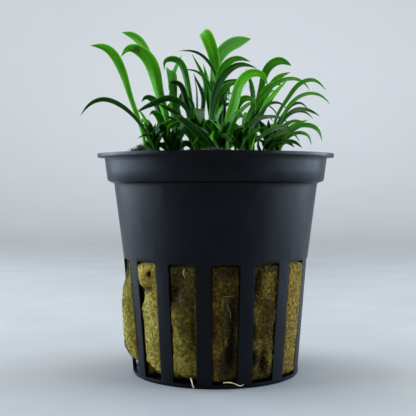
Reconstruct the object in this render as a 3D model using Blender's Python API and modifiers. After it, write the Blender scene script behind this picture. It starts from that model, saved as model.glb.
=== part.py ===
"""Dwarf cryptocoryne in its black net pot, with the rock wool plug that it grows in."""

from math import cos, pi, radians, sin

import bmesh
import bpy
import numpy as np
from mathutils import Matrix, Vector

MM = 0.001

# Net pot: a 55 mm lip and a body that tapers to the base
LIP_RADIUS = 27.5
LIP_THICKNESS = 0.7
LIP_ROUND = 0.2
POT_HEIGHT = 50.9
COLLAR_TOP_RADIUS = 25.9
COLLAR_FOOT_RADIUS = 25.25
COLLAR_FOOT_HEIGHT = 44.5
COLLAR_ROUND = 0.7
BODY_TOP_RADIUS = 23.65
BODY_SLOT_RADIUS = 21.5
BASE_RADIUS = 19.4
WALL = 0.9
FLOOR = 0.85
BASE_EDGE = 0.35

# Slots between the ribs, and drain holes in the floor
SLOTS = 14
SLOT_TOP = 26.9
SLOT_FOOT = FLOOR + 0.05
RIB_HALF_ANGLE = 4.6
FIRST_RIB_HEADING = -97.0
SLOT_CORNER = 0.6
CUTTER_INSIDE = 13.0
CUTTER_OUTSIDE = 31.0
DRAINS = 7
DRAIN_RADIUS = 1.7
DRAIN_CIRCLE = 12.5
DRAIN_SIDES = 10
POT_STEPS = 4 * SLOTS

# Rock wool plug
GAP = 0.3
WOOL_FOOT = 1.2
WOOL_TOP = 50.3
WOOL_ROWS = (3.6, 6.0, 10.5, 15.0, 19.5, 23.5, 26.3, 43.4, 45.4)
WOOL_COLUMNS = (-0.5, -0.3, -0.17, 0.0, 0.17, 0.3)
WOOL_BULGE = 1.1
WOOL_SETTLE = 0.25
WOOL_EDGE = 0.6
WOOL_SWELL_FOOT = 3.8
WOOL_SWELL_TOP = SLOT_TOP - 1.0
WOOL_FULLNESS = 0.7
WOOL_FOOT_INSET = 1.2
WOOL_TOP_INSET = 1.6

# Leaves: petiole and blade in one. The petiole's width follows the blade's
PETIOLE_LEAST = 0.2
PETIOLE_SHARE = 0.34
PETIOLE_DEPTH = 0.85
BLADE_THICKNESS = 0.42
BLADE_GROWTH = 0.36
BLADE_TAPER = 0.68
BLADE_CHANNEL = 0.22
TIP_WIDTH_SHARE = 0.08
TIP_THICKNESS_SHARE = 0.3
ROLL_END = 0.35
LEAF_STEP = 2.6
FOOT_RING = 2.0
FOOT_HEIGHT = WOOL_TOP + GAP
LEAF_FOOT_HEIGHT = FOOT_HEIGHT + 0.1

# Crowns: a short stem, with young leaves that are fused to its foot
CROWN_RADIUS = 0.95
CROWN_POINT = 0.15
CROWN_HEIGHT = 6.5
CROWN_SIDES = 8
CROWN_RINGS = (1.2, 3.4)
CROWN_SWELL = 1.15
YOUNG_RADIUS = 0.38
YOUNG_POINT = 0.08
YOUNG_SIDES = 4
YOUNG_RINGS = (0.35, 0.7)
YOUNG_SWELL = 0.35
YOUNG_BOW = 0.14
YOUNG_FOOT_RISE = 0.5
YOUNG_FOOT_REACH = 0.35
YOUNG_SHORTER = 0.11

# Plantlets: where each crown stands, how its young leaves stand (how many, how far their tips spread,
# how tall, the heading of the first), and its leaves. A leaf has the width of its blade, the part of
# its length at which the blade starts, the roll of the blade about its own run, and the points that it
# passes through after its foot, all in mm and degrees.
PLANTLETS = {
    "plant_1": ((-14.4, -3.0), (4, 2.0, 7.5, 54), (
        (2.2, 0.42, 75, ((-16.6, -4.0, 54.8), (-19.4, -4.5, 63.6), (-21.7, -5.0, 70.6),
                         (-25.2, -5.5, 75.0), (-28.5, -6.0, 75.4))),
        (1.2, 0.25, 60, ((-15.4, -6.0, 54.9), (-18.4, -6.8, 59.1), (-22.0, -7.2, 62.0),
                          (-25.6, -7.6, 63.0), (-28.5, -7.8, 61.8), (-30.5, -8.0, 59.3))),
        (1.2, 0.1, 60, ((-15.6, -1.0, 55.7), (-16.9, -0.6, 59.6), (-18.2, -0.4, 61.6))),
        (1.4, 0.3, 20, ((-14.6, 1.5, 55.0), (-16.8, 5.5, 59.5), (-18.6, 9.5, 58.5))),
    )),
    "plant_2": ((-10.0, 3.5), (5, 2.1, 8.5, 0), (
        (3.4, 0.34, 70, ((-11.4, 3.5, 57.6), (-13.7, 3.6, 66.5), (-15.3, 3.4, 72.3),
                         (-17.6, 3.0, 75.2), (-20.5, 2.6, 76.1), (-22.4, 2.2, 74.0))),
        (2.8, 0.48, 70, ((-12.6, 8.0, 60.5), (-14.5, 9.5, 67.2), (-16.2, 10.2, 74.0),
                         (-18.4, 10.8, 78.5), (-20.8, 11.4, 80.6), (-23.3, 12.0, 81.5))),
        (3.2, 0.44, 0, ((-9.2, 2.4, 58.0), (-10.1, 2.2, 65.5), (-10.6, 2.4, 69.8),
                       (-11.0, 4.4, 71.2), (-11.2, 6.4, 70.2))),
        (1.5, 0.4, 60, ((-10.9, 7.4, 65.6), (-10.3, 8.6, 71.0), (-8.2, 9.0, 75.6))),
        (1.7, 0.15, 20, ((-12.0, -3.5, 56.6), (-12.9, -5.5, 57.2), (-13.4, -8.0, 55.0))),
        (1.5, 0.15, 20, ((-11.0, -4.5, 53.8), (-11.9, -8.5, 55.4), (-12.3, -11.5, 54.4))),
    )),
    "plant_3": ((-4.0, -1.5), (5, 2.2, 8.5, 36), (
        (1.7, 0.32, 60, ((-6.3, 0.2, 60.5), (-8.9, 0.6, 63.5), (-11.7, 0.8, 64.0),
                         (-14.3, 0.9, 63.0), (-16.6, 1.1, 62.0), (-19.0, 1.4, 60.5))),
        (1.2, 0.3, 60, ((-6.6, -3.6, 57.5), (-9.3, -4.2, 60.3), (-13.6, -4.8, 62.4))),
        (2.3, 0.4, 70, ((-5.9, 4.0, 63.4), (-7.2, 4.4, 69.5), (-9.7, 4.2, 73.6),
                        (-11.9, 4.0, 73.3), (-12.2, 3.8, 71.0))),
        (1.7, 0.15, 30, ((-6.2, -7.0, 55.6), (-8.0, -8.0, 57.4), (-10.2, -8.5, 56.6),
                         (-10.9, -9.0, 54.3))),
        (2.5, 0.2, 0, ((-3.8, -5.0, 57.2), (-3.7, -8.0, 60.6), (-3.5, -12.0, 59.6), (-3.3, -15.0, 57.0))),
        (1.5, 0.25, 60, ((-2.8, 0.8, 63.8), (-2.6, 1.0, 67.8), (-3.9, 0.6, 71.2), (-5.6, 0.0, 74.4))),
        (1.5, 0.25, 70, ((-4.4, 2.5, 63.0), (-4.6, 6.0, 67.0), (-5.2, 7.0, 70.6))),
    )),
    "plant_4": ((1.4, -6.5), (5, 2.2, 8.5, 36), (
        (2.7, 0.0, 70, ((2.7, -8.4, 55.6), (4.5, -9.0, 62.8), (6.1, -9.3, 67.1), (8.5, -9.8, 68.6),
                        (10.4, -10.2, 68.0), (11.5, -10.5, 65.9))),
        (2.6, 0.1, 60, ((-1.8, -11.0, 52.9), (-4.0, -12.0, 55.2), (-6.2, -12.3, 57.3),
                        (-9.0, -12.6, 59.2))),
        (2.0, 0.25, 60, ((0.2, -4.0, 65.4), (2.7, -4.2, 69.6), (5.6, -4.2, 71.2), (9.5, -4.4, 70.4))),
        (1.8, 0.42, 60, ((0.4, -3.4, 59.0), (0.4, -1.4, 66.5), (2.6, -0.6, 72.0),
                         (5.0, -0.4, 73.2), (8.2, -0.6, 72.4))),
        (1.7, 0.3, 60, ((1.9, 0.0, 60.0), (0.6, 2.6, 67.5), (-1.9, 3.0, 73.0),
                        (-4.7, 3.2, 75.2), (-8.7, 3.2, 75.6))),
        (1.2, 0.3, 50, ((2.2, -7.0, 61.0), (2.8, -7.4, 64.6), (4.6, -7.6, 63.2))),
        (1.2, 0.2, 50, ((-0.4, -9.0, 54.5), (-0.8, -13.0, 55.0), (-0.6, -17.0, 53.2))),
    )),
    "plant_5": ((7.0, 2.0), (5, 2.2, 8.5, 12), (
        (2.3, 0.5, 65, ((9.6, 4.0, 61.6), (11.2, 5.2, 68.0), (12.8, 5.8, 72.0),
                        (15.3, 6.0, 73.5), (18.3, 6.0, 72.4))),
        (1.6, 0.45, 60, ((11.3, 8.0, 63.3), (13.3, 8.2, 67.4), (15.0, 8.4, 69.6), (18.3, 8.6, 71.2))),
        (1.4, 0.05, 60, ((7.3, 0.0, 58.6), (11.2, 0.0, 65.0), (15.1, 0.0, 67.9), (18.4, 0.0, 68.5),
                         (20.9, -0.2, 67.3), (22.0, -0.4, 65.7))),
        (2.0, 0.05, 60, ((9.8, -3.0, 58.0), (11.3, -3.4, 61.3), (13.7, -3.6, 64.7), (16.7, -3.8, 68.0))),
        (1.4, 0.25, 60, ((6.4, -9.0, 56.8), (10.9, -10.0, 58.7), (14.4, -10.0, 58.6), (16.8, -10.0, 57.1))),
        (1.2, 0.25, 60, ((8.6, 1.6, 60.0), (8.7, 1.4, 66.0), (7.0, 1.0, 71.2))),
        (1.6, 0.3, 20, ((6.6, 7.2, 56.5), (8.0, 13.0, 61.5), (9.5, 18.0, 59.5))),
    )),
    "plant_6": ((12.6, -7.0), (5, 2.2, 7.0, 22), (
        (1.3, 0.35, 60, ((14.0, -5.4, 59.3), (16.8, -5.2, 63.9), (19.6, -5.0, 67.0),
                         (22.3, -5.0, 67.6), (25.3, -5.0, 65.2))),
        (1.15, 0.3, 60, ((15.0, -9.0, 58.8), (17.7, -9.0, 62.7), (20.7, -9.0, 64.1),
                         (23.2, -9.0, 63.8), (25.7, -9.0, 61.7))),
        (1.25, 0.35, 60, ((14.9, -12.0, 57.9), (17.6, -12.2, 60.2), (19.8, -12.2, 60.3),
                          (23.0, -12.4, 58.8))),
        (1.2, 0.3, 60, ((15.2, -2.4, 54.9), (18.1, -2.0, 57.4), (21.5, -2.0, 58.8))),
        (1.35, 0.3, 60, ((15.0, -10.4, 54.2), (17.6, -10.6, 56.5), (19.9, -10.6, 57.0),
                         (22.5, -10.4, 56.1), (23.7, -10.2, 53.4))),
        (1.5, 0.2, 60, ((9.9, -13.0, 54.2), (12.3, -14.4, 55.7), (15.5, -14.8, 56.1),
                        (17.7, -15.0, 53.8))),
        (1.2, 0.2, 60, ((14.2, -12.6, 53.4), (15.6, -13.4, 53.2), (17.2, -14.2, 51.9))),
    )),
    "plant_7": ((1.0, 12.0), (4, 2.0, 8.0, 0), (
        (3.2, 0.5, -60, ((1.0, 10.0, 64.6), (0.0, 9.6, 73.0), (-1.7, 9.2, 79.0),
                         (-2.9, 10.6, 81.2), (-3.9, 13.2, 80.6))),
        (3.5, 0.5, 70, ((-0.4, 14.0, 71.0), (1.0, 14.4, 76.0), (3.7, 14.6, 78.6), (8.9, 15.0, 80.4))),
        (1.5, 0.3, 60, ((-1.7, 8.0, 65.5), (-2.1, 6.4, 69.6), (-3.0, 5.6, 72.9))),
        (2.2, 0.3, 10, ((2.0, 16.0, 62.0), (2.6, 20.0, 69.0), (3.2, 25.0, 70.0), (3.6, 28.0, 66.5))),
        (2.0, 0.3, 20, ((-3.5, 15.0, 60.0), (-8.0, 19.0, 65.0), (-12.0, 22.0, 64.0), (-14.0, 24.0, 60.5))),
        (2.0, 0.3, 20, ((5.0, 14.5, 60.0), (9.5, 17.5, 64.5), (14.5, 20.0, 63.5), (17.0, 21.5, 59.5))),
        (1.5, 0.3, 20, ((-0.5, 17.0, 57.0), (-2.0, 22.0, 60.0), (-3.0, 26.0, 57.5))),
    )),
}

# Roots: the radius of each one and the points that it passes through, in mm
ROOTS = {
    "root_1": (0.3, ((1.5, -19.3, 1.4), (2.8, -20.1, 1.75), (4.6, -20.3, 1.3), (5.6, -20.1, 0.9),
                     (6.2, -20.0, 1.3))),
    "root_2": (0.3, ((-5.9, -18.6, 3.2), (-5.6, -19.5, 2.2), (-5.2, -20.0, 1.3), (-4.9, -20.1, 0.5))),
    "root_3": (0.2, ((-20.6, -6.6, 8.4), (-20.5, -6.7, 6.2), (-19.9, -6.7, 3.8))),
}

# Loose lumps on the wool: middle, half length, half width and height, in mm
LUMPS = {
    "moss_heap": ((-16.6, -9.0), 2.8, 2.3, 2.4),
    "wool_tuft": ((-0.4, -15.6), 3.0, 1.8, 1.6),
}
LUMP_BUMPS = 0.12


def start_empty():
    """Remove whatever the file holds."""
    for item in list(bpy.data.objects):
        bpy.data.objects.remove(item, do_unlink=True)


def collection(name):
    """A new collection in the scene."""
    group = bpy.data.collections.new(name)
    bpy.context.scene.collection.children.link(group)
    return group


def material(name, colour, roughness, metallic=0.0):
    """A Principled material of one colour."""
    surface = bpy.data.materials.new(name)
    surface.use_nodes = True
    shader = surface.node_tree.nodes["Principled BSDF"]
    shader.inputs["Base Color"].default_value = (*colour, 1.0)
    shader.inputs["Roughness"].default_value = roughness
    shader.inputs["Metallic"].default_value = metallic
    return surface


def add_object(name, form, group, surface=None):
    """Put a bmesh into the scene as a smooth-shaded object."""
    mesh = bpy.data.meshes.new(name)
    form.to_mesh(mesh)
    form.free()
    item = bpy.data.objects.new(name, mesh)
    group.objects.link(item)
    if surface:
        mesh.materials.append(surface)
    return item


def shade(item, angle=40.0):
    """Smooth shading that keeps the real edges sharp."""
    item.data.shade_smooth()
    item.data.set_sharp_from_angle(angle=radians(angle))


def inner_radius(height):
    """Radius of the inside of the wall at a height, in mm."""
    heights = (0.0, SLOT_TOP, COLLAR_FOOT_HEIGHT - COLLAR_ROUND, COLLAR_FOOT_HEIGHT + 0.5 * COLLAR_ROUND,
               POT_HEIGHT)
    radii = (BASE_RADIUS - WALL, BODY_SLOT_RADIUS - WALL, BODY_TOP_RADIUS - WALL,
             COLLAR_FOOT_RADIUS - WALL, COLLAR_TOP_RADIUS - WALL)
    return float(np.interp(height, heights, radii))


def pot_profile():
    """Section of the pot, from the middle of the floor over the lip to the middle of the underside."""
    lip_foot = POT_HEIGHT - LIP_THICKNESS
    step = COLLAR_FOOT_HEIGHT
    return (
        (0.0, FLOOR),
        (inner_radius(FLOOR), FLOOR),
        (inner_radius(SLOT_TOP), SLOT_TOP),
        (inner_radius(step - COLLAR_ROUND), step - COLLAR_ROUND),
        (inner_radius(step + 0.5 * COLLAR_ROUND), step + 0.5 * COLLAR_ROUND),
        (inner_radius(POT_HEIGHT), POT_HEIGHT),
        (LIP_RADIUS - LIP_ROUND, POT_HEIGHT),
        (LIP_RADIUS, POT_HEIGHT - LIP_ROUND),
        (LIP_RADIUS, lip_foot + LIP_ROUND),
        (LIP_RADIUS - LIP_ROUND, lip_foot),
        (COLLAR_TOP_RADIUS, lip_foot),
        (COLLAR_FOOT_RADIUS, step + COLLAR_ROUND),
        (COLLAR_FOOT_RADIUS - 0.3 * COLLAR_ROUND, step + 0.3 * COLLAR_ROUND),
        (COLLAR_FOOT_RADIUS - COLLAR_ROUND, step),
        (BODY_TOP_RADIUS + 0.2 * COLLAR_ROUND, step - 0.2 * COLLAR_ROUND),
        (BODY_TOP_RADIUS, step - COLLAR_ROUND),
        (BODY_SLOT_RADIUS, SLOT_TOP),
        (BASE_RADIUS, BASE_EDGE),
        (BASE_RADIUS - BASE_EDGE, 0.0),
        (0.0, 0.0),
    )


def slot_cutters(group):
    """One wedge for each slot, with its upper corners rounded."""
    half = pi / SLOTS - radians(RIB_HALF_ANGLE)
    form = bmesh.new()
    for number in range(SLOTS):
        heading = radians(FIRST_RIB_HEADING) + (number + 0.5) * 2 * pi / SLOTS
        made = bmesh.ops.create_cube(form, size=2.0)["verts"]
        for vert in made:
            radius = CUTTER_OUTSIDE if vert.co.x > 0 else CUTTER_INSIDE
            turn = heading + (half if vert.co.y > 0 else -half)
            height = SLOT_TOP if vert.co.z > 0 else SLOT_FOOT
            vert.co = Vector((radius * cos(turn), radius * sin(turn), height)) * MM
        tops = [
            edge for edge in {e for v in made for e in v.link_edges}
            if all(abs(v.co.z - SLOT_TOP * MM) < 1e-6 for v in edge.verts)
            and abs(edge.verts[0].co.length - edge.verts[1].co.length) > 0.005
        ]
        bmesh.ops.bevel(form, geom=tops, offset=SLOT_CORNER * MM, segments=1, affect="EDGES")
    return add_cutter("slot_cutters", form, group)


def drain_cutters(group):
    """One short cylinder for each drain hole in the floor."""
    form = bmesh.new()
    for number in range(DRAINS):
        heading = 2 * pi * (number + 0.5) / DRAINS
        place = Vector((DRAIN_CIRCLE * cos(heading), DRAIN_CIRCLE * sin(heading), 0.5 * FLOOR)) * MM
        bmesh.ops.create_cone(
            form, cap_ends=True, segments=DRAIN_SIDES, radius1=DRAIN_RADIUS * MM, radius2=DRAIN_RADIUS * MM,
            depth=4 * FLOOR * MM, matrix=Matrix.Translation(place))
    return add_cutter("drain_cutters", form, group)


def add_cutter(name, form, group):
    """A cutter that is drawn as wire and left out of the render."""
    bmesh.ops.recalc_face_normals(form, faces=form.faces)
    cutter = add_object(name, form, group)
    cutter.hide_render = True
    cutter.display_type = "WIRE"
    return cutter


def net_pot(group, cutters, surface):
    """The pot: its section turned about the axis, then cut by the slots and the drain holes."""
    form = bmesh.new()
    verts = [form.verts.new((r * MM, 0.0, z * MM)) for r, z in pot_profile()]
    for first, second in zip(verts, verts[1:]):
        form.edges.new((first, second))
    pot = add_object("net_pot", form, group, surface)
    turn = pot.modifiers.new("turn", "SCREW")
    turn.steps = turn.render_steps = POT_STEPS
    turn.use_merge_vertices = True
    turn.merge_threshold = 0.01 * MM
    turn.use_smooth_shade = True
    for cutter in (slot_cutters(cutters), drain_cutters(cutters)):
        cut = pot.modifiers.new(cutter.name, "BOOLEAN")
        cut.operation = "DIFFERENCE"
        cut.object = cutter
    return pot


def wool_radius(turn, height):
    """Radius of the wool at an angle from the middle of a slot, in degrees, and a height."""
    inside = inner_radius(height) - GAP - WOOL_SETTLE
    half = 180.0 / SLOTS - RIB_HALF_ANGLE
    if not WOOL_SWELL_FOOT < height < WOOL_SWELL_TOP or abs(turn) > half - WOOL_EDGE:
        return inside
    middle = cos(0.5 * pi * turn / half) ** WOOL_FULLNESS
    return inside + (WALL + WOOL_BULGE) * middle


def rock_wool(group, surface):
    """The plug: a drum inside the wall, pushed out through the slots, with a level top."""
    pitch = 360.0 / SLOTS
    columns = [(number + 0.5, step) for number in range(SLOTS) for step in WOOL_COLUMNS]
    form = bmesh.new()
    bmesh.ops.create_cone(
        form, cap_ends=True, segments=len(columns), radius1=BASE_RADIUS * MM, radius2=BASE_RADIUS * MM,
        depth=(WOOL_TOP - WOOL_FOOT) * MM,
        matrix=Matrix.Translation((0, 0, 0.5 * (WOOL_TOP + WOOL_FOOT) * MM)))
    for height in WOOL_ROWS:
        bmesh.ops.bisect_plane(
            form, geom=form.verts[:] + form.edges[:] + form.faces[:], dist=1e-7,
            plane_co=(0, 0, height * MM), plane_no=(0, 0, 1))
    for vert in form.verts:
        height = vert.co.z / MM
        column = round(np.arctan2(vert.co.y, vert.co.x) / (2 * pi) * len(columns)) % len(columns)
        slot, step = columns[column]
        heading = radians(FIRST_RIB_HEADING + (slot + step) * pitch)
        radius = wool_radius(step * pitch, height)
        if height < WOOL_FOOT + 0.1:
            radius = inner_radius(height) - WOOL_FOOT_INSET
        if height > WOOL_TOP - 0.1:
            radius = inner_radius(height) - WOOL_TOP_INSET
        vert.co.x = radius * cos(heading) * MM
        vert.co.y = radius * sin(heading) * MM
    bmesh.ops.recalc_face_normals(form, faces=form.faces)
    wool = add_object("rock_wool", form, group, surface)
    shade(wool, 60.0)
    return wool


def smooth_route(points, step):
    """Even steps along the cubic spline through the points, in mm."""
    stops = np.array(points, dtype=float)
    runs = np.linalg.norm(np.diff(stops, axis=0), axis=1)
    knots = np.concatenate(([0.0], np.cumsum(runs)))
    count = len(stops)
    system = np.eye(count)
    bends = np.zeros((count, 3))
    for i in range(1, count - 1):
        system[i, i - 1:i + 2] = (runs[i - 1], 2 * (runs[i - 1] + runs[i]), runs[i])
        bends[i] = 6 * ((stops[i + 1] - stops[i]) / runs[i] - (stops[i] - stops[i - 1]) / runs[i - 1])
    curve = np.linalg.solve(system, bends)
    places = []
    for place in np.linspace(0.0, knots[-1], max(6, round(knots[-1] / step)) + 1):
        i = min(int(np.searchsorted(knots, place, side="right")) - 1, count - 2)
        after, before, run = place - knots[i], knots[i + 1] - place, runs[i]
        places.append(
            (curve[i] * before ** 3 + curve[i + 1] * after ** 3) / (6 * run)
            + (stops[i] / run - curve[i] * run / 6) * before
            + (stops[i + 1] / run - curve[i + 1] * run / 6) * after)
    return [Vector(place) for place in places]


def ease(value, start, end):
    """A smooth step from 0 at the start to 1 at the end."""
    part = min(max((value - start) / (end - start), 0.0), 1.0)
    return part * part * (3 - 2 * part)


def leaf_section(part, blade, start):
    """Half width, thickness and channel depth of a leaf, at a part of its length."""
    petiole = PETIOLE_LEAST + PETIOLE_SHARE * blade
    swell = ease(part, start, start + BLADE_GROWTH)
    taper = max(BLADE_TAPER, start + BLADE_GROWTH)
    point = 1.0 - max(0.0, (part - taper) / (1.0 - taper)) ** 2.0
    half = 0.5 * (petiole + (blade - petiole) * swell) * max(point, TIP_WIDTH_SHARE)
    depth = PETIOLE_DEPTH * petiole
    thick = (depth + (BLADE_THICKNESS - depth) * swell) * max(point, TIP_THICKNESS_SHARE)
    return half, thick, BLADE_CHANNEL * half * swell


def leaf(name, route, blade, start, roll, group, surface):
    """A leaf: four-sided sections, round at the petiole and flat at the blade, along its route."""
    places = smooth_route(route, LEAF_STEP)
    reach = places[-1] - places[0]
    side = Vector((0, 0, 1)).cross(Vector((reach.x, reach.y, 0))).normalized()
    form = bmesh.new()
    rings = []
    last = len(places) - 1
    for i in range(last):
        ahead = (places[i + 1] - places[max(i - 1, 0)]).normalized() if i else Vector((0, 0, 1))
        side = (side - ahead * side.dot(ahead)).normalized()
        turned = side.copy()
        turned.rotate(Matrix.Rotation(radians(roll) * ease(i / last, 0.0, ROLL_END), 3, ahead))
        face = ahead.cross(turned)
        half, thick, channel = leaf_section(i / last, blade, start)
        corners = (
            turned * half + face * channel,
            -face * thick * 0.5,
            -turned * half + face * channel,
            face * thick * 0.5,
        )
        rings.append([form.verts.new((places[i] + corner) * MM) for corner in corners])
    tip = form.verts.new(places[last] * MM)
    for lower, upper in zip(rings, rings[1:]):
        for k in range(4):
            form.faces.new((lower[k], lower[k - 3], upper[k - 3], upper[k]))
    for k in range(4):
        form.faces.new((rings[-1][k], rings[-1][k - 3], tip))
    form.faces.new(rings[0])
    bmesh.ops.recalc_face_normals(form, faces=form.faces)
    item = add_object(name, form, group, surface)
    shade(item, 60.0)
    return item


def young_leaf(name, place, heading, spread, height, group):
    """A young leaf, still rolled: a bowed spike that is later fused to its crown."""
    aim = Vector((cos(heading), sin(heading), 0.0))
    foot = Vector((*place, FOOT_HEIGHT + YOUNG_FOOT_RISE)) + aim * YOUNG_FOOT_REACH
    run = Vector((*place, FOOT_HEIGHT + height)) + aim * spread - foot
    length = run.length
    form = bmesh.new()
    bmesh.ops.create_cone(
        form, cap_ends=True, segments=YOUNG_SIDES, radius1=YOUNG_RADIUS, radius2=YOUNG_POINT,
        depth=length, matrix=Matrix.Translation((0, 0, 0.5 * length)))
    for share in YOUNG_RINGS:
        bmesh.ops.bisect_plane(
            form, geom=form.verts[:] + form.edges[:] + form.faces[:], dist=1e-5,
            plane_co=(0, 0, share * length), plane_no=(0, 0, 1))
    upright = run.normalized()
    out = (aim - upright * aim.dot(upright)).normalized()
    side = upright.cross(out)
    for vert in form.verts:
        bend = sin(pi * vert.co.z / length)
        swell = 1.0 + YOUNG_SWELL * bend
        vert.co = (foot + upright * vert.co.z + side * vert.co.y * swell
                   + out * (vert.co.x - YOUNG_BOW * length * bend)) * MM
    return add_cutter(name, form, group)


def crown(name, place, young, group, cutters, surface):
    """A crown: a short stem that ends in the point of its youngest leaf, fused with the next ones."""
    form = bmesh.new()
    bmesh.ops.create_cone(
        form, cap_ends=True, segments=CROWN_SIDES, radius1=CROWN_RADIUS * MM, radius2=CROWN_POINT * MM,
        depth=CROWN_HEIGHT * MM,
        matrix=Matrix.Translation(Vector((*place, FOOT_HEIGHT + 0.5 * CROWN_HEIGHT)) * MM))
    for height in CROWN_RINGS:
        made = bmesh.ops.bisect_plane(
            form, geom=form.verts[:] + form.edges[:] + form.faces[:], dist=1e-7,
            plane_co=(0, 0, (FOOT_HEIGHT + height) * MM), plane_no=(0, 0, 1))
        ring = [part for part in made["geom_cut"] if isinstance(part, bmesh.types.BMVert)]
        middle = Vector((*place, FOOT_HEIGHT + height)) * MM
        bmesh.ops.scale(
            form, verts=ring, vec=(CROWN_SWELL, CROWN_SWELL, 1.0), space=Matrix.Translation(-middle))
    bmesh.ops.recalc_face_normals(form, faces=form.faces)
    item = add_object(name, form, group, surface)
    count, spread, tallest, first = young
    for number in range(count):
        heading = radians(first + 360.0 * number / count)
        height = tallest * (1.0 - YOUNG_SHORTER * number)
        spike = young_leaf(f"{name}_young_{number + 1}", place, heading, spread, height, cutters)
        fuse = item.modifiers.new(spike.name, "BOOLEAN")
        fuse.operation = "UNION"
        fuse.object = spike
    return item


def plantlet(name, place, young, leaves, group, cutters, green, pale):
    """A crown with its leaves, whose feet stand around it in the order of their headings."""
    crown(name + "_crown", place, young, group, cutters, pale)
    headings = []
    for number, (*_, stops) in enumerate(leaves):
        aim = Vector(stops[0]) - Vector((*place, FOOT_HEIGHT))
        headings.append((np.arctan2(aim.y, aim.x), number))
    turns = {number: rank for rank, (_, number) in enumerate(sorted(headings))}
    first = float(np.mean([heading - 2 * pi * turns[number] / len(leaves) for heading, number in headings]))
    for number, (blade, start, roll, stops) in enumerate(leaves):
        turn = first + 2 * pi * turns[number] / len(leaves)
        foot = (place[0] + FOOT_RING * cos(turn), place[1] + FOOT_RING * sin(turn), LEAF_FOOT_HEIGHT)
        leaf(f"{name}_leaf_{number + 1}", (foot, *stops), blade, start, roll, group, green)


def root(name, radius, stops, group, surface):
    """A root: a thin round tube with filled ends."""
    curve = bpy.data.curves.new(name, "CURVE")
    curve.dimensions = "3D"
    curve.bevel_depth = radius * MM
    curve.bevel_resolution = 1
    curve.use_fill_caps = True
    places = smooth_route(stops, 1.0)
    line = curve.splines.new("POLY")
    line.points.add(len(places) - 1)
    for point, place in zip(line.points, places):
        point.co = (*(place * MM), 1.0)
    curve.materials.append(surface)
    item = bpy.data.objects.new(name, curve)
    group.objects.link(item)
    return item


def lump(name, place, length, width, height, group, surface):
    """A low uneven heap with a flat underside."""
    form = bmesh.new()
    bmesh.ops.create_uvsphere(form, u_segments=10, v_segments=6, radius=1.0)
    bmesh.ops.bisect_plane(
        form, geom=form.verts[:] + form.edges[:] + form.faces[:], dist=1e-5,
        plane_co=(0, 0, 0), plane_no=(0, 0, 1), clear_inner=True)
    bmesh.ops.contextual_create(form, geom=[edge for edge in form.edges if edge.is_boundary])
    for vert in form.verts:
        turn = np.arctan2(vert.co.y, vert.co.x)
        rise = 1.0 + LUMP_BUMPS * sin(3 * turn + 5 * vert.co.z)
        vert.co = Vector((
            place[0] + length * rise * vert.co.x,
            place[1] + width * rise * vert.co.y,
            FOOT_HEIGHT + height * vert.co.z)) * MM
    bmesh.ops.recalc_face_normals(form, faces=form.faces)
    item = add_object(name, form, group, surface)
    shade(item, 60.0)
    return item


start_empty()
plant = collection("potted_dwarf_cryptocoryne")
cutting = collection("cutters")
black = material("black_plastic", (0.018, 0.024, 0.032), 0.35)
wool_tan = material("rock_wool", (0.32, 0.24, 0.08), 0.95)
leaf_green = material("leaf_green", (0.09, 0.30, 0.03), 0.30)
crown_green = material("crown_green", (0.30, 0.42, 0.10), 0.40)
root_cream = material("root_cream", (0.62, 0.50, 0.33), 0.55)
moss_brown = material("moss_brown", (0.10, 0.11, 0.03), 0.90)

net_pot(plant, cutting, black)
rock_wool(plant, wool_tan)
for plantlet_name, (crown_place, young_row, leaf_rows) in PLANTLETS.items():
    plantlet(plantlet_name, crown_place, young_row, leaf_rows, plant, cutting, leaf_green, crown_green)
for root_name, (root_radius, root_stops) in ROOTS.items():
    root(root_name, root_radius, root_stops, plant, root_cream)
for lump_name, lump_sizes in LUMPS.items():
    lump(lump_name, *lump_sizes, plant, moss_brown if lump_name == "moss_heap" else wool_tan)
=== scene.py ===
from math import asin, atan2, cos, degrees, exp, hypot, pi, radians, sin

import bpy
import numpy as np
from mathutils import Matrix, Vector, noise


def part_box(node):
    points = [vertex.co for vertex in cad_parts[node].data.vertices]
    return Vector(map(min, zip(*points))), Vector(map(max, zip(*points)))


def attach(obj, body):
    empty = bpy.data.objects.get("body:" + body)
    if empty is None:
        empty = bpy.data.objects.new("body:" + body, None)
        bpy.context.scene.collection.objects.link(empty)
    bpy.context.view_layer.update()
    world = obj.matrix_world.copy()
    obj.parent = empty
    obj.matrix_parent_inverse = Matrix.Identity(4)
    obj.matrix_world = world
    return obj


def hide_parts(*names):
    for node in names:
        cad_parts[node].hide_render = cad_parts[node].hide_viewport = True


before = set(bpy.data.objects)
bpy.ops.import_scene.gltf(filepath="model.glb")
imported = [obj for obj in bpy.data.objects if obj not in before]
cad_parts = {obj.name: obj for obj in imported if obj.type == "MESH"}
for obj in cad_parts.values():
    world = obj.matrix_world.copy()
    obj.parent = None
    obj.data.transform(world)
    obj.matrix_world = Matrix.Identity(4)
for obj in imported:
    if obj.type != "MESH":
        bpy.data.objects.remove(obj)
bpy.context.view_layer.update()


# Net pot: one moulding in black polypropylene with a slate tint, with an even thin wall. A flat lip
# stands out from a collar, and the tapered body below it has tall slots between its ribs. It is
# moulded in one shot, so every edge has a small round and the outside a soft satin sheen. Lengths are
# in mm and turns in degrees.
MM = 0.001
RIBS = 14
FIRST_RIB = -97.0
RIB_COLUMNS = 8
SLOT_COLUMNS = 14
POT_COLUMNS = RIBS * (RIB_COLUMNS + SLOT_COLUMNS)
RIB_HALF = 1.65
SLOT_FOOT = 0.9
SLOT_TOP = 26.9
SLOT_CORNER = 0.25
POT_WALL = 0.8
POT_ROUND = 0.16
ROUNDED_ANGLE = 38
SMOOTH_ANGLE = 40
CLOSE = 0.1
DRAINS = 7
DRAIN_RADIUS = 1.7
DRAIN_CIRCLE = 12.5
DRAIN_SIDES = 48
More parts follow.
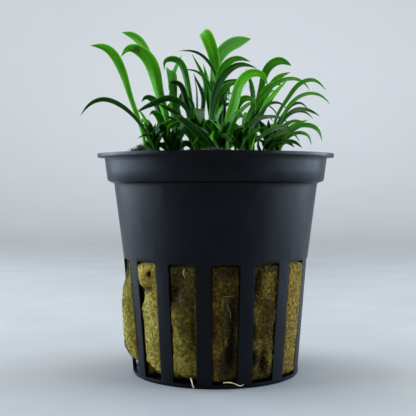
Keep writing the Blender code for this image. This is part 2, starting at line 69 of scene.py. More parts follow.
PLASTIC_TINTS = ((0.0008, 0.0014, 0.0026), (0.0022, 0.0034, 0.0062))
PLASTIC_ROUGHNESS = (0.32, 0.46)

# The body's outer radius at three heights, and the heights of its rings. The rings of the floor and of
# the collar are each a radius and a height
WALL_STOPS = ((0.55, 19.4), (26.9, 21.5), (43.8, 23.65))
WALL_HEIGHTS = (0.9, 1.5, 3.0, 6.0, 9.0, 12.0, 15.0, 18.0, 21.0, 24.0, 26.3, 26.9, 27.6,
                30.0, 33.0, 36.0, 39.0, 41.5, 43.2, 43.8)
FLOOR_RINGS = ((4.0, 0.0), (8.0, 0.0), (12.0, 0.0), (16.0, 0.0), (19.1, 0.0), (19.4, 0.4))
COLLAR_RINGS = ((23.75, 44.15), (24.5, 44.4), (25.0, 44.6), (25.25, 45.1), (25.5, 47.0),
                (25.75, 49.0), (25.9, 50.1), (26.7, 50.1), (27.5, 50.1))


def body_radius(height):
    """Outer radius of the pot's body at a height, in mm."""
    return float(np.interp(height, [z for z, r in WALL_STOPS], [r for z, r in WALL_STOPS]))


def pick(piece):
    """Make one object the only selected and the active one."""
    bpy.ops.object.select_all(action="DESELECT")
    piece.select_set(True)
    bpy.context.view_layer.objects.active = piece


def finish_with(piece, kind, **settings):
    """Add a modifier, set it and apply it."""
    pick(piece)
    step = piece.modifiers.new(kind.lower(), kind)
    for name, value in settings.items():
        setattr(step, name, value)
    bpy.ops.object.modifier_apply(modifier=step.name)


def turned(name, columns, rings):
    """A surface drawn up ring by ring from a filled circle, as on a wheel."""
    bpy.ops.object.select_all(action="DESELECT")
    radius, height = rings[0]
    bpy.ops.mesh.primitive_circle_add(
        vertices=columns, radius=radius * MM, fill_type="NGON", location=(0, 0, height * MM))
    piece = bpy.context.object
    piece.name = name
    bpy.ops.object.mode_set(mode="EDIT")
    bpy.ops.mesh.select_mode(type="EDGE")
    bpy.ops.mesh.select_all(action="SELECT")
    for (inner, low), (outer, high) in zip(rings, rings[1:]):
        bpy.ops.mesh.extrude_edges_move(
            TRANSFORM_OT_translate={"value": (0, 0, (high - low) * MM)})
        bpy.ops.transform.resize(
            value=(outer / inner, outer / inner, 1), center_override=(0, 0, high * MM))
    bpy.ops.object.mode_set(mode="OBJECT")
    bpy.ops.object.transform_apply(location=True, rotation=True, scale=True)
    return piece


def column_of(place):
    """Which column of the pot a point stands in, counted from the left edge of its rib."""
    turn = (degrees(atan2(place.y, place.x)) - FIRST_RIB) % 360.0
    column = (turn / 360.0 * POT_COLUMNS + RIB_COLUMNS / 2) % (RIB_COLUMNS + SLOT_COLUMNS)
    return column if column < RIB_COLUMNS + SLOT_COLUMNS - 0.01 else 0.0


def cut_slots(pot):
    """Take out the wall between the ribs."""
    for face in pot.data.polygons:
        between = SLOT_FOOT < face.center.z / MM < SLOT_TOP
        face.select = between and column_of(face.center) > RIB_COLUMNS
    bpy.ops.object.mode_set(mode="EDIT")
    bpy.ops.mesh.select_mode(type="FACE")
    bpy.ops.mesh.delete(type="FACE")
    bpy.ops.object.mode_set(mode="OBJECT")


def true_ribs(pot):
    """Give the ribs one width from top to foot, and round the upper corners of the slots."""
    drawn = pi * RIB_COLUMNS / POT_COLUMNS
    for vert in pot.data.vertices:
        height, reach = vert.co.z / MM, hypot(vert.co.x, vert.co.y) / MM
        column = column_of(vert.co)
        if not SLOT_FOOT - CLOSE < height < SLOT_TOP + CLOSE or column > RIB_COLUMNS + CLOSE:
            continue
        side = 2.0 * column / RIB_COLUMNS - 1.0
        turn = side * (asin(RIB_HALF / reach) - drawn)
        if abs(height - SLOT_TOP) < CLOSE and abs(side) > 1.0 - CLOSE:
            turn += side * SLOT_CORNER / reach
            vert.co.z -= SLOT_CORNER * MM
        vert.co = Matrix.Rotation(turn, 3, "Z") @ vert.co


def new_material(name, roughness=0.5, specular=0.5):
    """A material with one Principled shader, its parts, and the output for places on the piece."""
    surface = bpy.data.materials.new(name)
    surface.use_nodes = True
    tree = surface.node_tree
    shader = tree.nodes["Principled BSDF"]
    shader.inputs["Roughness"].default_value = roughness
    shader.inputs["Specular IOR Level"].default_value = specular
    return surface, tree, shader, tree.nodes.new("ShaderNodeTexCoord").outputs["Object"]


def noise_field(tree, source, scale, detail=4.0, stretch=(1, 1, 1)):
    """A noise pattern on a coordinate output, drawn out along an axis where asked."""
    mapping = tree.nodes.new("ShaderNodeMapping")
    mapping.inputs["Scale"].default_value = stretch
    field = tree.nodes.new("ShaderNodeTexNoise")
    field.inputs["Scale"].default_value = scale
    field.inputs["Detail"].default_value = detail
    tree.links.new(source, mapping.inputs["Vector"])
    tree.links.new(mapping.outputs["Vector"], field.inputs["Vector"])
    return field.outputs["Fac"]


def ramp(tree, value, stops):
    """Colours along a value."""
    node = tree.nodes.new("ShaderNodeValToRGB")
    ends = node.color_ramp.elements
    ends[0].position, ends[0].color = stops[0][0], (*stops[0][1], 1)
    ends[1].position, ends[1].color = stops[-1][0], (*stops[-1][1], 1)
    for place, colour in stops[1:-1]:
        ends.new(place).color = (*colour, 1)
    tree.links.new(value, node.inputs["Fac"])
    return node.outputs["Color"]


def spread(tree, value, low, high, start=0.3, end=0.7):
    """Map the range of a pattern to two values, with an eased run between them."""
    node = tree.nodes.new("ShaderNodeMapRange")
    node.interpolation_type = "SMOOTHSTEP"
    node.inputs["From Min"].default_value = start
    node.inputs["From Max"].default_value = end
    node.inputs["To Min"].default_value = low
    node.inputs["To Max"].default_value = high
    tree.links.new(value, node.inputs["Value"])
    return node.outputs["Result"]


def blend_colours(tree, share, first, second):
    """Two colours, or coloured outputs, mixed by a share."""
    node = tree.nodes.new("ShaderNodeMix")
    node.data_type = "RGBA"
    tree.links.new(share, node.inputs["Factor"])
    for colour, socket in ((first, node.inputs["A"]), (second, node.inputs["B"])):
        if isinstance(colour, tuple):
            socket.default_value = (*colour, 1)
        else:
            tree.links.new(colour, socket)
    return node.outputs["Result"]


def add_bump(tree, shader, height, distance, strength):
    """Fine relief of a given depth, in mm, over any that the shader has already."""
    bump = tree.nodes.new("ShaderNodeBump")
    bump.inputs["Distance"].default_value = distance * MM
    bump.inputs["Strength"].default_value = strength
    tree.links.new(height, bump.inputs["Height"])
    before = shader.inputs["Normal"].links
    if before:
        tree.links.new(before[0].from_socket, bump.inputs["Normal"])
    tree.links.new(bump.outputs["Normal"], shader.inputs["Normal"])


def black_plastic():
    """Satin black moulding: faint slate clouds, uneven sheen and a very fine mould grain."""
    surface, tree, shader, place = new_material("black_plastic_satin", specular=0.14)
    clouds = noise_field(tree, place, 110, 5)
    tint = ramp(tree, clouds, ((0.35, PLASTIC_TINTS[0]), (0.7, PLASTIC_TINTS[1])))
    tree.links.new(tint, shader.inputs["Base Color"])
    sheen = noise_field(tree, place, 420, 6, (1, 1, 0.35))
    tree.links.new(spread(tree, sheen, *PLASTIC_ROUGHNESS), shader.inputs["Roughness"])
    add_bump(tree, shader, noise_field(tree, place, 2600, 2), 0.03, 0.25)
    add_bump(tree, shader, noise_field(tree, place, 300, 3), 0.12, 0.10)
    return surface


wall_rings = tuple((body_radius(height), height) for height in WALL_HEIGHTS)
net_pot = turned("net_pot_moulding", POT_COLUMNS, FLOOR_RINGS + wall_rings + COLLAR_RINGS)
net_pot.data.transform(Matrix.Rotation(radians(FIRST_RIB), 4, "Z"))
cut_slots(net_pot)
true_ribs(net_pot)
topmost = max(net_pot.data.polygons, key=lambda face: face.center.z)
if topmost.normal.z > 0:
    net_pot.data.flip_normals()
finish_with(net_pot, "SOLIDIFY", thickness=POT_WALL * MM, offset=-1, use_even_offset=True)
for number in range(DRAINS):
    heading = 2 * pi * (number + 0.5) / DRAINS
    place = Vector((DRAIN_CIRCLE * cos(heading), DRAIN_CIRCLE * sin(heading), 0.5 * POT_WALL)) * MM
    bpy.ops.mesh.primitive_cylinder_add(
        vertices=DRAIN_SIDES, radius=DRAIN_RADIUS * MM, depth=5 * POT_WALL * MM, location=place)
    drill = bpy.context.object
    finish_with(net_pot, "BOOLEAN", operation="DIFFERENCE", object=drill)
    bpy.data.objects.remove(drill)
finish_with(net_pot, "BEVEL", width=POT_ROUND * MM, segments=2, limit_method="ANGLE",
            angle_limit=radians(ROUNDED_ANGLE))
pick(net_pot)
bpy.ops.object.shade_smooth_by_angle(angle=radians(SMOOTH_ANGLE))
net_pot.data.materials.clear()
net_pot.data.materials.append(black_plastic())
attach(net_pot, "root")
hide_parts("net_pot")


# Rock wool: one plug of spun mineral fibre, wound round the roots and pushed into the pot by hand. It
# fills the pot, lies in soft lumps and swells out through the slots, more in some than in others. It is
# stained from pale yellow to ochre, olive and brown, and its deep hollows are painted darker as shade.
WOOL_FOOT = 0.95
WOOL_TOP = 50.3
WOOL_COLUMNS = 33 * RIBS
SLOT_ROWS = 92
UPPER_ROWS = 20
FOOT_RINGS = (0.0, 4.0, 8.0, 12.0, 15.0, 17.0)
CAP_RINGS = (23.2, 22.6, 21.8, *(round(20.8 - 1.2 * ring, 1) for ring in range(16)), 1.4, 0.0)
SIDE_BLANK = 18.5
SLOT_PITCH = 360.0 / RIBS
MOTTLE = 0.13

# The radii between which the wool's top falls away to its rim, and how far it falls
TOP_SHOULDER = (17.0, 23.2)
SHOULDER_FALL = 1.6

# The gap between the wool and the inside of the wall, how far out from there it fills a slot up to the
# slot's edges, and the heights between which it widens into the collar, with how much
WOOL_INSET = 0.5
FLUSH = 1.35
COLLAR_STEP = (44.2, 45.4, 1.2)

# The wool in each slot, from the one right of the first rib on: how far it stands out beyond the middle
# of the wall, how high its foot is at the slot's middle and per degree towards the right, how much paler
# and how much redder it is, and how uneven
SLOT_WOOL = (
    (0.0, 1.2, 0.03, -0.25, 0.20, 1.0), (-0.05, 1.0, 0.02, -0.17, 0.12, 1.0),
    (0.35, 0.95, 0.0, -0.07, 0.34, 0.4), (-0.9, 1.4, 0.0, -0.04, 0.1, 0.6),
    (0.8, 2.0, 0.05, -0.03, -0.1, 0.8), (0.5, 1.2, 0.0, -0.08, 0.1, 1.0),
    (0.2, 1.7, -0.04, 0.03, 0.0, 0.6), (-0.1, 1.1, 0.0, -0.06, 0.2, 1.0),
    (0.4, 2.2, 0.03, 0.0, -0.1, 0.8), (0.1, 1.3, 0.0, -0.08, 0.1, 1.0),
    (-0.7, 1.6, 0.0, -0.03, 0.0, 0.6), (1.5, 3.3, 0.02, 0.11, -0.25, 0.35),
    (0.15, 2.9, -0.13, 0.12, 0.0, 0.45), (0.1, 1.9, 0.02, -0.07, 0.0, 0.9))

# Colours of the wool by how pale it is, where it is olive and where it is ochre
WOOL_OLIVE = (
    (0.02, (0.008, 0.007, 0.002)), (0.30, (0.060, 0.050, 0.006)), (0.55, (0.180, 0.155, 0.016)),
    (0.80, (0.370, 0.330, 0.080)), (1.0, (0.540, 0.520, 0.290)))
WOOL_OCHRE = (
    (0.02, (0.010, 0.006, 0.001)), (0.30, (0.078, 0.042, 0.005)), (0.55, (0.240, 0.145, 0.016)),
    (0.80, (0.460, 0.310, 0.045)), (1.0, (0.620, 0.470, 0.150)))

# Lumps and hollows: heading, height, half width in degrees and half height in mm, how far the wool
# stands out there, how much paler it is and how much redder. The deep hollows are also made darker,
# which is painted shade on top of the stain
WOOL_PATCHES = (
    (-137.0, 24.4, 6.5, 2.5, 0.8, 0.08, 0.10),
    (-142.0, 24.2, 4.0, 2.6, 0.3, 0.0, 0.0),
    (-142.8, 19.4, 2.7, 1.3, -2.6, -0.80, 0.30),
    (-135.6, 21.0, 5.0, 0.5, -0.9, -0.45, 0.20),
    (-143.2, 11.5, 0.9, 8.0, -0.8, -0.60, 0.10),
    (-136.5, 17.6, 5.0, 3.0, 0.35, 0.12, -0.45),
    (-134.5, 10.0, 5.0, 6.0, 0.45, 0.04, 0.0),
    (-132.7, 24.4, 0.9, 0.6, -1.4, -1.20, 0.80),
    (-133.0, 23.2, 3.0, 2.2, 0.0, -0.10, 0.55),
    (-110.0, 24.0, 8.0, 4.5, -0.5, -0.28, 0.0),
    (-114.8, 20.5, 3.0, 2.6, -0.5, -0.25, 0.15),
    (-111.6, 11.5, 4.6, 6.8, 0.55, 0.14, -0.20),
    (-110.8, 12.5, 1.8, 1.6, -0.1, -0.20, -0.10),
    (-103.6, 14.5, 1.5, 6.0, -0.5, -0.22, 0.30),
    (-109.0, 4.8, 5.5, 2.4, 0.3, 0.10, -0.10),
    (-88.5, 22.5, 3.0, 4.0, 0.0, 0.10, 0.20),
    (-80.0, 13.0, 2.2, 5.5, -0.8, -0.40, 0.10),
    (-82.0, 7.5, 3.2, 3.2, -0.8, -0.34, 0.0),
    (-89.5, 8.0, 2.8, 5.5, 0.3, 0.08, 0.05),
    (-83.8, 10.3, 0.7, 0.7, 0.3, 0.60, 0.30),
    (-84.5, 25.6, 7.0, 1.6, -0.3, -0.22, 0.0),
    (-66.4, 12.2, 1.5, 1.3, -1.7, -0.75, 0.10),
    (-66.0, 6.6, 1.8, 1.1, -1.9, -0.80, 0.0),
    (-58.0, 5.6, 2.2, 2.6, -1.1, -0.45, 0.0),
    (-66.6, 9.8, 1.2, 0.9, 0.1, 0.05, 0.80),
    (-57.8, 21.0, 3.2, 3.4, 0.2, 0.14, 0.05),
    (-64.5, 22.5, 2.2, 3.2, -0.9, -0.35, 0.10),
    (-63.6, 3.6, 2.6, 1.6, 0.4, 0.15, 0.10),
    (-62.0, 9.0, 3.0, 2.0, 0.3, 0.10, 0.10),
    (-33.0, 15.0, 7.0, 9.0, 0.2, 0.06, 0.12),
    (-41.8, 5.0, 3.0, 4.5, 0.0, -0.04, 0.55),
    (-28.2, 25.5, 1.3, 0.8, 0.1, 0.05, -1.20),
    (-24.0, 21.0, 2.2, 4.5, 0.3, 0.10, 0.35),
    (-167.0, 11.0, 9.0, 8.0, 0.7, 0.06, -0.20),
    (-171.0, 4.4, 6.0, 2.2, 0.3, -0.05, 0.90),
    (-155.0, 9.0, 3.0, 7.0, 0.0, 0.0, 0.45),
    (-165.0, 25.4, 12.0, 4.2, -1.8, -0.50, 0.15),
)


def ease(value, start, end):
    """A smooth step from 0 at the start to 1 at the end."""
    part = min(max((value - start) / (end - start), 0.0), 1.0)
    return part * part * (3 - 2 * part)


def slot_place(heading):
    """Number of the slot that a heading is nearest to, and the turn from its middle in degrees."""
    turn = (heading - FIRST_RIB - 0.5 * SLOT_PITCH) / SLOT_PITCH
    number = round(turn)
    return number % RIBS, (turn - number) * SLOT_PITCH


def slot_half(height):
    """Half the width of a slot at a height, in degrees."""
    return 0.5 * SLOT_PITCH - degrees(asin(RIB_HALF / body_radius(height)))


def patch_share(patch, heading, height):
    """How strongly a patch acts at a place, from 0 to 1."""
    turn = (heading - patch[0] + 180.0) % 360.0 - 180.0
    reach = (turn / patch[2]) ** 2 + ((height - patch[1]) / patch[3]) ** 2
    return exp(-reach) if reach < 8 else 0.0


def around(heading, radius=21.0):
    """The point on the pot's girth at a heading, in mm."""
    return Vector((cos(radians(heading)), sin(radians(heading)), 0)) * radius


def wool_lumps(heading, height):
    """Uneven surface of the wool, in mm: soft lumps, tufts and fine roughness."""
    place = around(heading)
    uneven = SLOT_WOOL[slot_place(heading)[0]][5]
    lumps = noise.noise(place * 0.30 + Vector((0, 0, height * 0.22)))
    tufts = noise.noise(place * 0.9 + Vector((7, 3, height * 0.75)))
    rough = noise.noise(place * 2.6 + Vector((1, 9, height * 2.2)))
    return uneven * (0.42 * lumps + 0.13 * tufts) + 0.07 * rough


def wool_level(heading):
    """Height of the plug's foot at a heading, in mm: uneven, and higher in some slots."""
    number, turn = slot_place(heading)
    middle, slope = SLOT_WOOL[number][1:3]
    inner = 1.0 - ease(abs(turn), slot_half(0) - 1.0, slot_half(0) + 2.0)
    ragged = 0.5 * noise.noise(around(heading) * 1.1 + Vector((4, 6, 0)))
    return WOOL_FOOT + inner * max(middle + slope * turn + ragged - WOOL_FOOT, 0.0)


def wool_reach(heading, height):
    """Radius of the wool's side at a heading and a height, in mm."""
    number, turn = slot_place(heading)
    start, end, step = COLLAR_STEP
    inside = body_radius(height) - POT_WALL - WOOL_INSET + step * ease(height, start, end)
    lumps = wool_lumps(heading, height)
    patches = sum(patch[4] * patch_share(patch, heading, height) for patch in WOOL_PATCHES)
    swell = WOOL_INSET + 0.5 * POT_WALL + SLOT_WOOL[number][0] + lumps + patches
    near = min(swell, FLUSH)
    half = slot_half(height)
    above = height - wool_level(heading)
    edge = 1.0 - ease(abs(turn), half - 0.5, half + 0.55)
    ends = ease(above, 0.0, 1.1) * (1.0 - ease(height, SLOT_TOP - 0.9, SLOT_TOP - 0.1))
    rounded = 1.0 - ease(abs(turn), half - 5.0, half + 0.5)
    rounded *= ease(above, -0.2, 4.0) * (1.0 - ease(height, SLOT_TOP - 3.0, SLOT_TOP))
    tuck = 0.9 * (1.0 - ease(above, 0.0, 0.9))
    return inside + edge * ends * near + rounded * (swell - near) - tuck + 0.2 * min(lumps, 0.0)


def wool_stain_and_shade(heading, height):
    """How pale and how red the wool is at a place, with painted shade darkening its deep hollows."""
    place = around(heading)
    paler, redder, uneven = SLOT_WOOL[slot_place(heading)[0]][3:]
    pale = 0.48 + paler + 0.22 * uneven * noise.noise(place * 0.28 + Vector((3, 3, height * 0.20)))
    pale += 0.12 * uneven * noise.noise(place * 1.0 + Vector((8, 1, height * 0.9)))
    red = 0.42 + redder + 0.40 * uneven * noise.noise(place * 0.22 + Vector((2, 8, height * 0.12)))
    for patch in WOOL_PATCHES:
        share = patch_share(patch, heading, height)
        pale += patch[5] * share
        red += patch[6] * share
    return pale, red


def top_stain(x, y):
    """How pale and how red the wool is at a place on its top, where it is darkest."""
    pale = 0.30 + 0.22 * noise.noise(Vector((x, y, 2)) * 0.16) + 0.16 * noise.noise(Vector((x, y, 7)) * 0.7)
    return pale, 0.30 + 0.5 * noise.noise(Vector((x, y, 9)) * 0.13)


def write_stain_and_shade(piece, values):
    """Write the paleness, painted shade included, and the redness of every vertex of a piece of wool."""
    for name, column in (("pale", 0), ("red", 1)):
        layer = piece.data.attributes.new(name, "FLOAT", "POINT")
        layer.data.foreach_set("value", np.ascontiguousarray(values[:, column], np.float32))


def read(tree, name, output="Fac"):
    """A value that is written on the piece's vertices."""
    node = tree.nodes.new("ShaderNodeAttribute")
    node.attribute_name = name
    return node.outputs[output]


def wool_material(name, lift):
    """Stained mineral fibre: matt, mottled, brown where least pale; its dark hollows are painted shade."""
    surface, tree, shader, place = new_material(name, 0.9, 0.2)
    mixed = tree.nodes.new("ShaderNodeMath")
    mixed.operation = "ADD"
    tree.links.new(read(tree, "pale"), mixed.inputs[0])
    mottle = noise_field(tree, place, 1500, 5)
    tree.links.new(spread(tree, mottle, lift - MOTTLE, lift + MOTTLE), mixed.inputs[1])
    olive, ochre = (ramp(tree, mixed.outputs["Value"], stops) for stops in (WOOL_OLIVE, WOOL_OCHRE))
    tree.links.new(blend_colours(tree, read(tree, "red"), olive, ochre), shader.inputs["Base Color"])
    add_bump(tree, shader, noise_field(tree, place, 2600, 4), 0.10, 0.7)
    return surface


def rolled(name, columns, rings):
    """A closed skin: a grid rolled into a tube, ring by ring, with a pole at each end."""
    bpy.ops.object.select_all(action="DESELECT")
    bpy.ops.mesh.primitive_grid_add(x_subdivisions=columns, y_subdivisions=len(rings) - 1, size=1.0)
    piece = bpy.context.object
    piece.name = name
    for vert in piece.data.vertices:
        heading = 360.0 * round((vert.co.x + 0.5) * columns) / columns
        radius, height = rings[round((vert.co.y + 0.5) * (len(rings) - 1))]
        vert.co = around(heading, radius) * MM + Vector((0, 0, height * MM))
    bpy.ops.object.mode_set(mode="EDIT")
    bpy.ops.mesh.select_all(action="SELECT")
    bpy.ops.mesh.remove_doubles(threshold=0.0005 * MM)
    bpy.ops.mesh.normals_make_consistent(inside=False)
    bpy.ops.object.mode_set(mode="OBJECT")
    bpy.ops.object.shade_smooth()
    return piece


slot_heights = np.linspace(WOOL_FOOT, SLOT_TOP + 0.4, SLOT_ROWS)
upper_heights = np.linspace(SLOT_TOP + 0.4, WOOL_TOP, UPPER_ROWS + 1)[1:]
wool = rolled(
    "rock_wool_plug", WOOL_COLUMNS,
    [(radius, WOOL_FOOT) for radius in FOOT_RINGS]
    + [(SIDE_BLANK, height) for height in (*slot_heights, *upper_heights)]
    + [(radius, WOOL_TOP + 0.01) for radius in CAP_RINGS])
wool_values = np.empty((len(wool.data.vertices), 2))
for index, vert in enumerate(wool.data.vertices):
    x, y, z = vert.co / MM
    heading = degrees(atan2(y, x))
    radius = hypot(x, y)
    on_top = z > WOOL_TOP + 0.005
    wool_values[index] = top_stain(x, y) if on_top else wool_stain_and_shade(heading, z)
    if on_top:
        relief = noise.noise(Vector((x, y, 0)) * 0.30) + 0.5 * noise.noise(Vector((x, y, 3)) * 0.9)
        fine = noise.noise(Vector((x, y, 5)) * 2.8)
        shoulder = ease(radius, *TOP_SHOULDER)
        vert.co.z = (WOOL_TOP + 0.25 + 0.45 * relief + 0.22 * fine - SHOULDER_FALL * shoulder) * MM
    elif radius > SIDE_BLANK - 0.5:
        level = wool_level(heading) - WOOL_FOOT
        z += level * (1.0 - ease(z, WOOL_FOOT, 9.0))
        reach = wool_reach(heading, z) * (1.0 - 0.045 * ease(z, WOOL_TOP - 3.0, WOOL_TOP))
        vert.co = around(heading, reach) * MM + Vector((0, 0, z * MM))
    else:
        dome = 1.6 + 0.8 * noise.noise(Vector((x, y, 1)) * 0.35)
        vert.co.z += dome * ease(19.0 - radius, 0, 5) * MM
write_stain_and_shade(wool, wool_values)
wool.data.materials.append(wool_material("rock_wool_stained", 0.0))
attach(wool, "root")
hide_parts("rock_wool")


# Wool fibres: the loose ends and loops of the spun fibre that stand off the plug in the slots and on
# its top, as a short curly fuzz. They are finer than hair, and stained like the wool under them.
FIBRES_IN_A_SLOT = 1500
FIBRES_ON_TOP = 5000
FIBRE_POINTS = 5
FUZZ_MARGIN = 0.35
TOP_REACH = 22.8
TOP_STEP = 0.45

# The pieces of the fuzz, and the slots that each one is in
FUZZ_PARTS = (("front", (11, 12, 13, 0, 1)), ("right", (2, 3, 4, 5, 6)), ("left", (7, 8, 9, 10)))

# Fuzz of a slot: length and thickness in mm, how much it curls, its lean from level and the scatter of
# that in radians, and how far it stands off in mm
PLAIN_FUZZ = (0.9, 0.034, 0.75, 0.0, 3.0, 0.07)
SLOT_FUZZ = {
    0: (1.7, 0.036, 0.25, 2.1, 0.6, 0.10),
    1: (1.2, 0.055, 0.95, 0.0, 3.0, 0.28),
    13: (1.1, 0.036, 0.60, 1.8, 1.3, 0.08),
}

# Single long fibres: the places that each one passes, as heading and height, its thickness and how far
# its middle stands off, in mm
LONG_FIBRES = (
    (((-108.3, 26.0), (-108.7, 25.0), (-108.4, 24.0)), 0.10, 0.55),
    (((-86.0, 19.9), (-83.0, 20.2), (-79.6, 20.0)), 0.045, 0.12),
    (((-85.6, 19.6), (-85.9, 18.6), (-86.2, 17.6)), 0.040, 0.10),
    (((-83.0, 18.4), (-81.0, 16.6), (-80.0, 14.4)), 0.040, 0.10),
    (((-65.0, 20.6), (-62.0, 19.4), (-59.5, 19.7)), 0.045, 0.12),
)
LONG_FIBRE_STAIN = (0.85, 0.25)
chance = np.random.default_rng(41)


def strands(name, paths, thick):
    """One mesh of many thin three-sided strands along their paths, in mm."""
    count, steps = paths.shape[:2]
    ahead = np.gradient(paths, axis=1)
    ahead /= np.linalg.norm(ahead, axis=2, keepdims=True) + 1e-9
    side = np.cross(ahead, (0.33, 0.52, 0.79))
    side /= np.linalg.norm(side, axis=2, keepdims=True) + 1e-9
    over = np.cross(ahead, side)
    taper = np.interp(np.linspace(0, 1, steps), (0.0, 0.2, 0.7, 1.0), (0.7, 1.0, 0.85, 0.25))
    reach = thick[:, None, None] * taper[None, :, None]
    third = 2 * pi / 3
    corners = [paths + reach * (cos(turn) * side + sin(turn) * over) for turn in (0, third, 2 * third)]
    places = np.stack(corners, axis=2).reshape(-1, 3) * MM
    ring = 3 * np.arange(count * steps).reshape(count, steps)
    low, high = ring[:, :-1].ravel(), ring[:, 1:].ravel()
    walls = [np.stack([low + k, low + (k + 1) % 3, high + (k + 1) % 3, high + k], axis=1) for k in range(3)]
    ends = [ring[:, 0][:, None] + np.array((0, 2, 1)), ring[:, -1][:, None] + np.array((0, 1, 2))]
    mesh = bpy.data.meshes.new(name)
    mesh.from_pydata(places.tolist(), [], np.concatenate(walls).tolist() + np.concatenate(ends).tolist())
    piece = bpy.data.objects.new(name, mesh)
    bpy.context.collection.objects.link(piece)
    pick(piece)
    bpy.ops.object.shade_smooth()
    return piece


def on_wool(heading, height, proud):
    """The point that stands proud of the wool's side at a place, in mm."""
    point = around(heading, wool_reach(heading, height) + proud)
    return (point.x, point.y, height)


def slot_fuzz(number):
    """Paths, thicknesses and stains of the fuzz in one slot."""
    length, thick, curl, lean, scatter, stand = SLOT_FUZZ.get(number, PLAIN_FUZZ)
    middle = FIRST_RIB + (number + 0.5) * SLOT_PITCH
    edge = slot_half(8.0) - FUZZ_MARGIN
    paths, widths, values = [], [], []
    for _ in range(FIBRES_IN_A_SLOT):
        heading = middle + chance.uniform(-edge, edge)
        height = chance.uniform(wool_level(heading) + 0.3, SLOT_TOP - 0.4)
        values.append(np.array(wool_stain_and_shade(heading, height)) + (chance.normal(0, 0.08), 0.0))
        aim = lean + chance.normal(0, scatter) + (pi if chance.random() < 0.5 else 0.0)
        bend = chance.normal(0, curl)
        step = length * chance.uniform(0.5, 1.4) / (FIBRE_POINTS - 1)
        rise = abs(chance.normal(0, stand))
        path = []
        for k in range(FIBRE_POINTS):
            path.append(on_wool(heading, height, rise * sin(0.8 * pi * k / (FIBRE_POINTS - 1)) - 0.03))
            heading += degrees(step * cos(aim) / 20.5)
            height += step * sin(aim)
            aim += bend
            heading = min(max(heading, middle - edge), middle + edge)
            height = min(max(height, wool_level(heading) + 0.2), SLOT_TOP - FUZZ_MARGIN)
        paths.append(path)
        widths.append(thick * chance.uniform(0.6, 1.5))
    return paths, widths, values


def dress_fibres(name, paths, widths, values):
    """Make strands of wool one piece with the wool's stains."""
    piece = strands(name, np.array(paths), np.array(widths))
    write_stain_and_shade(piece, np.repeat(np.array(values), 3 * len(paths[0]), axis=0))
    piece.data.materials.append(fibre_surface)
    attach(piece, "root")


fibre_surface = wool_material("rock_wool_fibres", 0.04)
for part, numbers in FUZZ_PARTS:
    paths, widths, values = [], [], []
    for number in numbers:
        for whole, share in zip((paths, widths, values), slot_fuzz(number)):
            whole.extend(share)
    dress_fibres("wool_fuzz_" + part, paths, widths, values)

long_paths = []
for places, width, proud in LONG_FIBRES:
    turns, levels = np.array(places).T
    spots = np.linspace(0, 1, FIBRE_POINTS)
    knots = np.linspace(0, 1, len(places))
    long_paths.append([on_wool(turn, level, proud * sin(pi * spot) + 0.12) for turn, level, spot in zip(
        np.interp(spots, knots, turns), np.interp(spots, knots, levels), spots)])
long_widths = [width for places, width, proud in LONG_FIBRES]
dress_fibres("wool_long_fibres", long_paths, long_widths, [LONG_FIBRE_STAIN] * len(LONG_FIBRES))

top_paths, top_values = [], []
for number in range(FIBRES_ON_TOP):
    radius, turn = TOP_REACH * chance.uniform(0, 1) ** 0.5, chance.uniform(0, 2 * pi)
    aim, bend, rise = chance.uniform(0, 2 * pi), chance.normal(0, 0.6), abs(chance.normal(0, 0.35))
    place = Vector((radius * cos(turn), radius * sin(turn), 0))
    path = []
    for k in range(FIBRE_POINTS):
        reach = hypot(place.x, place.y)
        relief = 0.45 * noise.noise(Vector((place.x, place.y, 0)) * 0.30)
        level = WOOL_TOP + 0.3 + relief - SHOULDER_FALL * ease(reach, *TOP_SHOULDER)
        path.append((place.x, place.y, level + rise * sin(0.8 * pi * k / (FIBRE_POINTS - 1))))
        place += Vector((cos(aim + bend * k), sin(aim + bend * k), 0)) * TOP_STEP
        place *= min(1.0, TOP_SHOULDER[1] / max(hypot(place.x, place.y), 1.0))
    top_paths.append(path)
    pale, red = top_stain(*path[0][:2])
    top_values.append((pale + chance.normal(0.05, 0.12), red))
dress_fibres("wool_fuzz_top", top_paths, chance.uniform(0.03, 0.06, FIBRES_ON_TOP), top_values)


# Leaves: each one is a petiole that widens into a narrow pointed blade, grown as one. The petiole is
# round and grooved on its upper side, and the blade is thin, with a keel along its back and a shallow
# channel above. It is smooth, glossy and lets light through, pale at the foot and darker at the blade.
LEAF_RINGS = 44
LEAF_SIDES = 16
BLADE_THICKNESS = 0.30

# The petiole's width is this least one and a share of the blade's, and its depth a share of its width
PETIOLE_LEAST = 0.2
PETIOLE_SHARE = 0.34
PETIOLE_DEPTH = 0.85

# A leaf widens a little before its blade starts, and then all the way. These are the early share of the
# widening, and how far past the blade's start each of the two ends, in parts of the leaf's length
EARLY_SWELL = 0.25
EARLY_GROWTH = 0.1
BLADE_GROWTH = 0.36

# Where the blade starts to taper and where the leaf has turned to its roll, in parts of its length, and
# the depth of the blade's channel as a share of half its width
BLADE_TAPER = 0.68
ROLL_END = 0.35
BLADE_CHANNEL = 0.22
